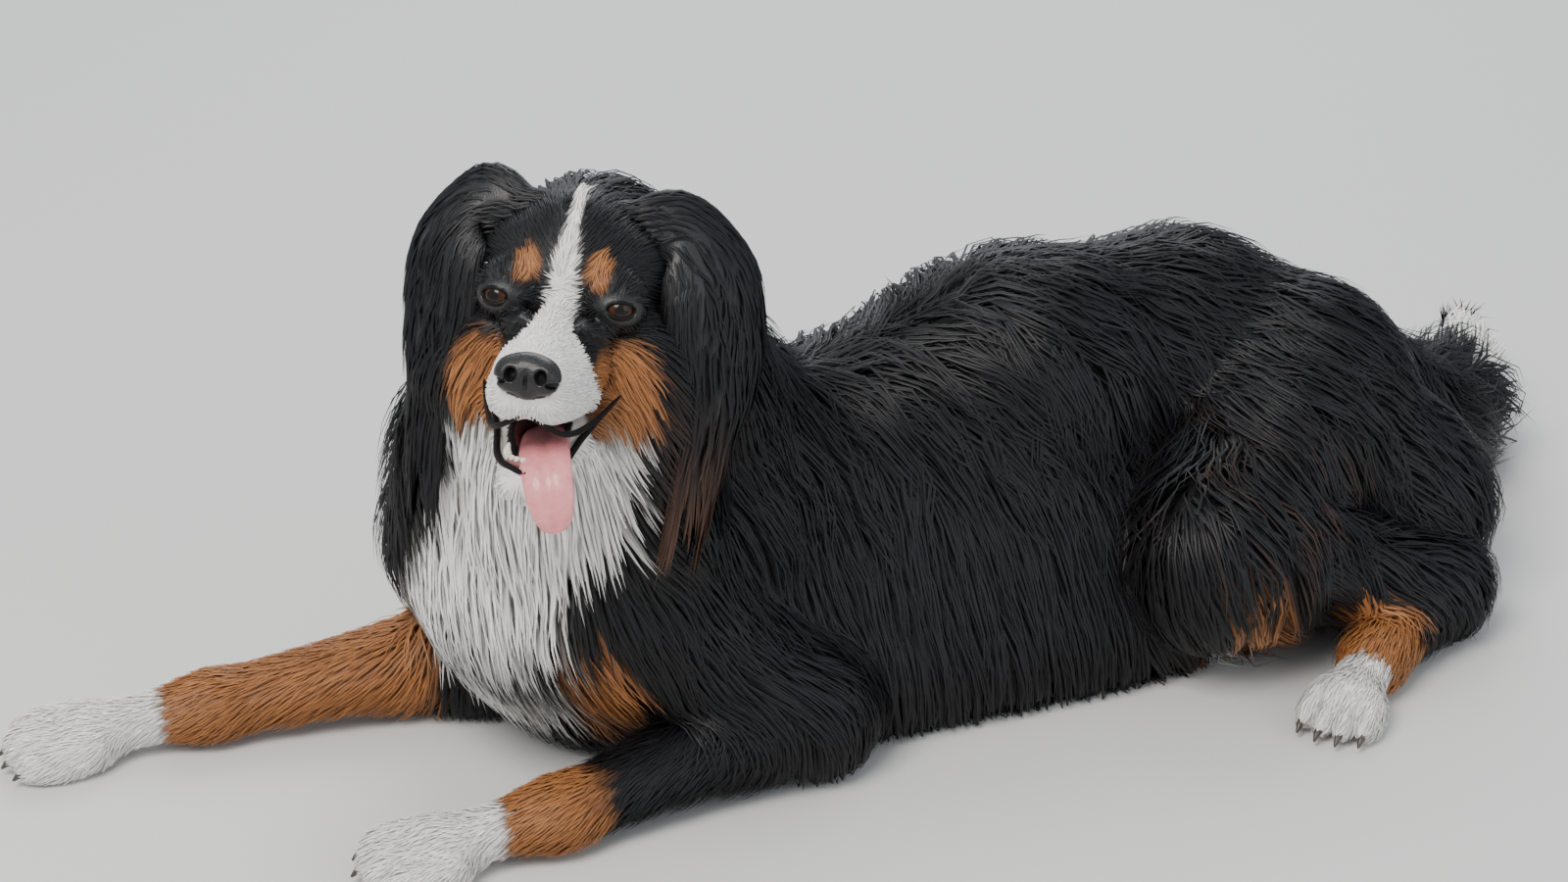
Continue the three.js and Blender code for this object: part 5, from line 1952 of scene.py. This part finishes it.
@dataclass
class Mouth:
    """The tongue, the lower teeth in their gum, and the edges of the lips."""

    tongue_line: tuple = (
        (8, 2, -88), (40, 6, -91), (68, 11, -96), (86, 18, -111), (90, 24, -131), (86, 28, -147),
    )
    gum_at: tuple = (56, 17, 14.5, -105)

    def build(self) -> None:
        """Makes every piece of the mouth."""
        line = Curve([HEAD.out(p) for p in self.tongue_line])
        wides, thicks = (16, 17, 18, 18, 16.5, 11), (4, 4, 4.2, 4, 3.6, 2.4)
        tongue = Sweep(line, wides, thicks, HEAD.way(0.9, 0, 0.45), 0.06, 2.4, 36, 48)
        self.piece("tongue_wet", tongue, TONGUE, "tongue")
        for name, points, thick in (("upper", UPPER_LIP, 2.3), ("lower", LOWER_LIP, 2.7)):
            for side, s in SIDES.items():
                edge = Curve([HEAD.out((f, s * l, u)) for f, l, u in points])
                girth = (thick * 0.8, thick, thick * 0.9, thick * 0.5)
                lip = Sweep(edge, girth, girth, np.array([0, 0, 1.0]), sides=14, steps=30)
                self.piece(f"lip_{name}_{side}", lip, LIP)
        self.teeth()

    @staticmethod
    def piece(name: str, shape: Sweep, finish: WetFinish, node: str = "") -> bpy.types.Object:
        """One swept piece with its finish.

        Args:
            name: The piece's name.
            shape: Its sweep.
            finish: Its finish.
            node: The node that it replaces.

        Returns:
            The piece.
        """
        thing = add_mesh(name, *shape.mesh())
        finish.dress(thing)
        if node:
            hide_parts(node)
        return thing

    def teeth(self) -> None:
        """The gum's arch with incisors and canines set in it."""
        f0, deep, half, level = self.gum_at

        def spot(turn: float, u: float, lean: float = 0.0) -> Array:
            """A place on the gum, by its turn about the middle of the mouth."""
            turn = np.radians(turn)
            return HEAD.out((f0 + (deep + lean) * np.cos(turn), (half + lean) * np.sin(turn), u))

        gum = Curve([spot(turn, level) for turn in (-88, -44, 0, 44, 88)])
        ridge = Sweep(gum, (3.4, 3.9, 3.9, 3.4), (3.8, 4.4, 4.4, 3.8), HEAD.way(0, 0, 1))
        self.piece("lower_gum", ridge, GUM)
        verts, faces, count = [], [], 0
        for turn in (-66, -42, -25, -8, 8, 25, 42, 66):
            canine = abs(turn) > 50
            high, wide = (16, 3.3) if canine else (8.2, 2.5)
            lean = 2.5 if canine else 1.2
            root, middle = spot(turn, level - 1), spot(turn, level + high * 0.5, lean)
            line = Curve([root, middle, spot(turn, level + high - 2, lean * 0.6)])
            girth = (wide, wide * 0.95, wide * (0.3 if canine else 0.8))
            tooth = Sweep(line, girth, [g * 0.75 for g in girth], HEAD.way(1, 0, 0), sides=12, steps=12)
            v, f = tooth.mesh()
            verts.append(v)
            faces.append(f + count)
            count += len(v)
        teeth = add_mesh("lower_teeth_set", np.vstack(verts), np.vstack(faces))
        TOOTH.dress(teeth)
        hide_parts("lower_teeth")


@dataclass
class Claws:
    """Sixteen claws, one under each toe's tip."""

    girth: tuple = (4.2, 3.6, 2.4, 0.8)

    def build(self) -> None:
        """Makes each claw."""
        for name, paw in PAWS.items():
            end, side = name.replace("paw", "").split("_")
            for i, k in enumerate(paw.toes):
                start = paw.toe(k, paw.long * 0.93, paw.radius * 0.66)
                steps = ((-3, 0), (3, 0.4), (9, 2.4), (15, 7))
                line = Curve([start + paw.ahead * by - np.array([0, 0, drop]) for by, drop in steps])
                deep = [g * 1.15 for g in self.girth]
                claw = Sweep(line, self.girth, deep, np.array([0, 0, 1.0]), sides=14, steps=16)
                thing = add_mesh(f"claw_horn_{end}_{side}_{i + 1}", *claw.mesh())
                HORN.dress(thing)
                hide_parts(f"claw_{end}_{side}_{i + 1}")


@dataclass
class Dog:
    """The whole dog."""

    flesh_nodes: tuple = (
        "head", "lower_jaw", "ear_left", "ear_right", "torso", "neck", "tail_root", "tail_middle", "tail_tip",
    )

    def build(self) -> None:
        """Builds the skin, the coat and everything bare."""
        parts = body_parts()
        marks = Markings()
        finish = CoatFinish()
        skin = Skin(whole_skin(parts))
        skin.build()
        log.info("skin: %d faces", len(skin.faces))
        ears = [Ear(side) for side in SIDES]
        self.skin_piece(skin, ears, marks)
        Coat(skin.form, parts, skin, marks, finish).build()
        for ear in ears:
            ear.grow(marks, finish)
        for name, s in SIDES.items():
            Eye(s).build(name)
        Nose().build()
        Mouth().build()
        Claws().build()

    def skin_piece(self, skin: Skin, ears: list[Ear], marks: Markings) -> None:
        """Makes the one skin with its ears.

        Args:
            skin: The meshed skin.
            ears: The two ears.
            marks: The coat's markings.
        """
        verts, faces = [skin.verts], [skin.faces]
        count = len(skin.verts)
        for ear in ears:
            v, f = ear.leaf.mesh()
            verts.append(v)
            faces.append(f + count)
            count += len(v)
        verts, faces = np.vstack(verts), np.vstack(faces)
        thing = add_mesh("skin", verts, faces)
        masks = marks.all(verts)
        masks[len(skin.verts) :, :2] = 0
        f, l, u = HEAD.into(verts).T
        bare = (f > -12) & (np.abs(l) < 33) & (u > -112) & (u < -64) & (mouth_space().distance(verts) < 6)
        mouth = bare & (mouth_space().distance(verts) < 1)
        for s in (1, -1):
            bare |= lid_opening(s, 3).distance(verts) < 0
        bare |= Egg(shifted(HEAD, *NOSE_AT), [r / 2 for r in NOSE_SIZE]).distance(verts) < 0
        add_values(thing, "Marking", masks)
        add_values(thing, "Bare", np.stack([bare, mouth, mouth], 1).astype(float))
        thing.data.materials.append(SkinFinish().material())
        names = ("upper_arm", "forearm", "thigh", "shank", "hind_pastern", "forepaw", "hindpaw")
        limbs = [f"{limb}_{side}" for limb in names for side in SIDES]
        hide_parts(*self.flesh_nodes, *limbs)


@dataclass
class Studio:
    """A pale floor, soft light and the camera."""

    camera_at: tuple = (-1.1466, -2.2036, 1.326)
    azimuth: float = -24.0
    down: float = 25.0
    lens: float = 74.97

    def build(self) -> None:
        """Sets the stage."""
        scene = bpy.context.scene
        self.floor()
        world = bpy.data.worlds.new("studio")
        world.use_nodes = True
        world.node_tree.nodes["Background"].inputs[0].default_value = (0.86, 0.92, 1.0, 1)
        world.node_tree.nodes["Background"].inputs[1].default_value = 0.75
        scene.world = world
        self.light("key", (-2.2, -1.6, 3.4), 2.0, 185, (1.0, 0.97, 0.92))
        self.light("fill", (1.8, -3.4, 1.6), 2.6, 42, (0.9, 0.95, 1.0))
        self.light("back", (1.2, 2.6, 3.0), 2.4, 95, (0.95, 0.97, 1.0))
        camera = bpy.data.objects.new("camera", bpy.data.cameras.new("camera"))
        camera.data.lens = self.lens
        camera.data.sensor_width = 36
        camera.location = self.camera_at
        az, down = np.radians([self.azimuth, self.down])
        look = Vector((-np.sin(az) * np.cos(down), np.cos(az) * np.cos(down), -np.sin(down)))
        camera.rotation_mode = "QUATERNION"
        camera.rotation_quaternion = look.to_track_quat("-Z", "Y")
        scene.collection.objects.link(camera)
        scene.camera = camera

    @staticmethod
    def light(name: str, at: tuple, size: float, power: float, colour: tuple) -> None:
        """A soft square light that faces the dog.

        Args:
            name: The light's name.
            at: Its place.
            size: Its side.
            power: Its power.
            colour: Its colour.
        """
        lamp = bpy.data.lights.new(name, "AREA")
        lamp.energy, lamp.size, lamp.color = power, size, colour
        thing = bpy.data.objects.new(name, lamp)
        thing.location = at
        thing.rotation_mode = "QUATERNION"
        thing.rotation_quaternion = (Vector((-0.05, -0.05, 0.15)) - Vector(at)).to_track_quat("-Z", "Y")
        bpy.context.scene.collection.objects.link(thing)

    @staticmethod
    def floor() -> None:
        """A plain pale floor."""
        mesh = bpy.data.meshes.new("floor")
        half = 9.0
        corners = [(-half, -half, 0), (half, -half, 0), (half, half, 0), (-half, half, 0)]
        mesh.from_pydata(corners, [], [(0, 1, 2, 3)])
        floor = bpy.data.objects.new("floor", mesh)
        bpy.context.scene.collection.objects.link(floor)
        material, _, shader = new_material("floor_pale")
        shader.inputs["Base Color"].default_value = (0.62, 0.61, 0.59, 1)
        shader.inputs["Roughness"].default_value = 0.85
        floor.data.materials.append(material)


def main() -> None:
    """Builds the dog on its stage and notes its size."""
    logging.basicConfig(level=logging.INFO, format="%(message)s")
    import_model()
    Dog().build()
    Studio().build()


if __name__ == "__main__":
    main()
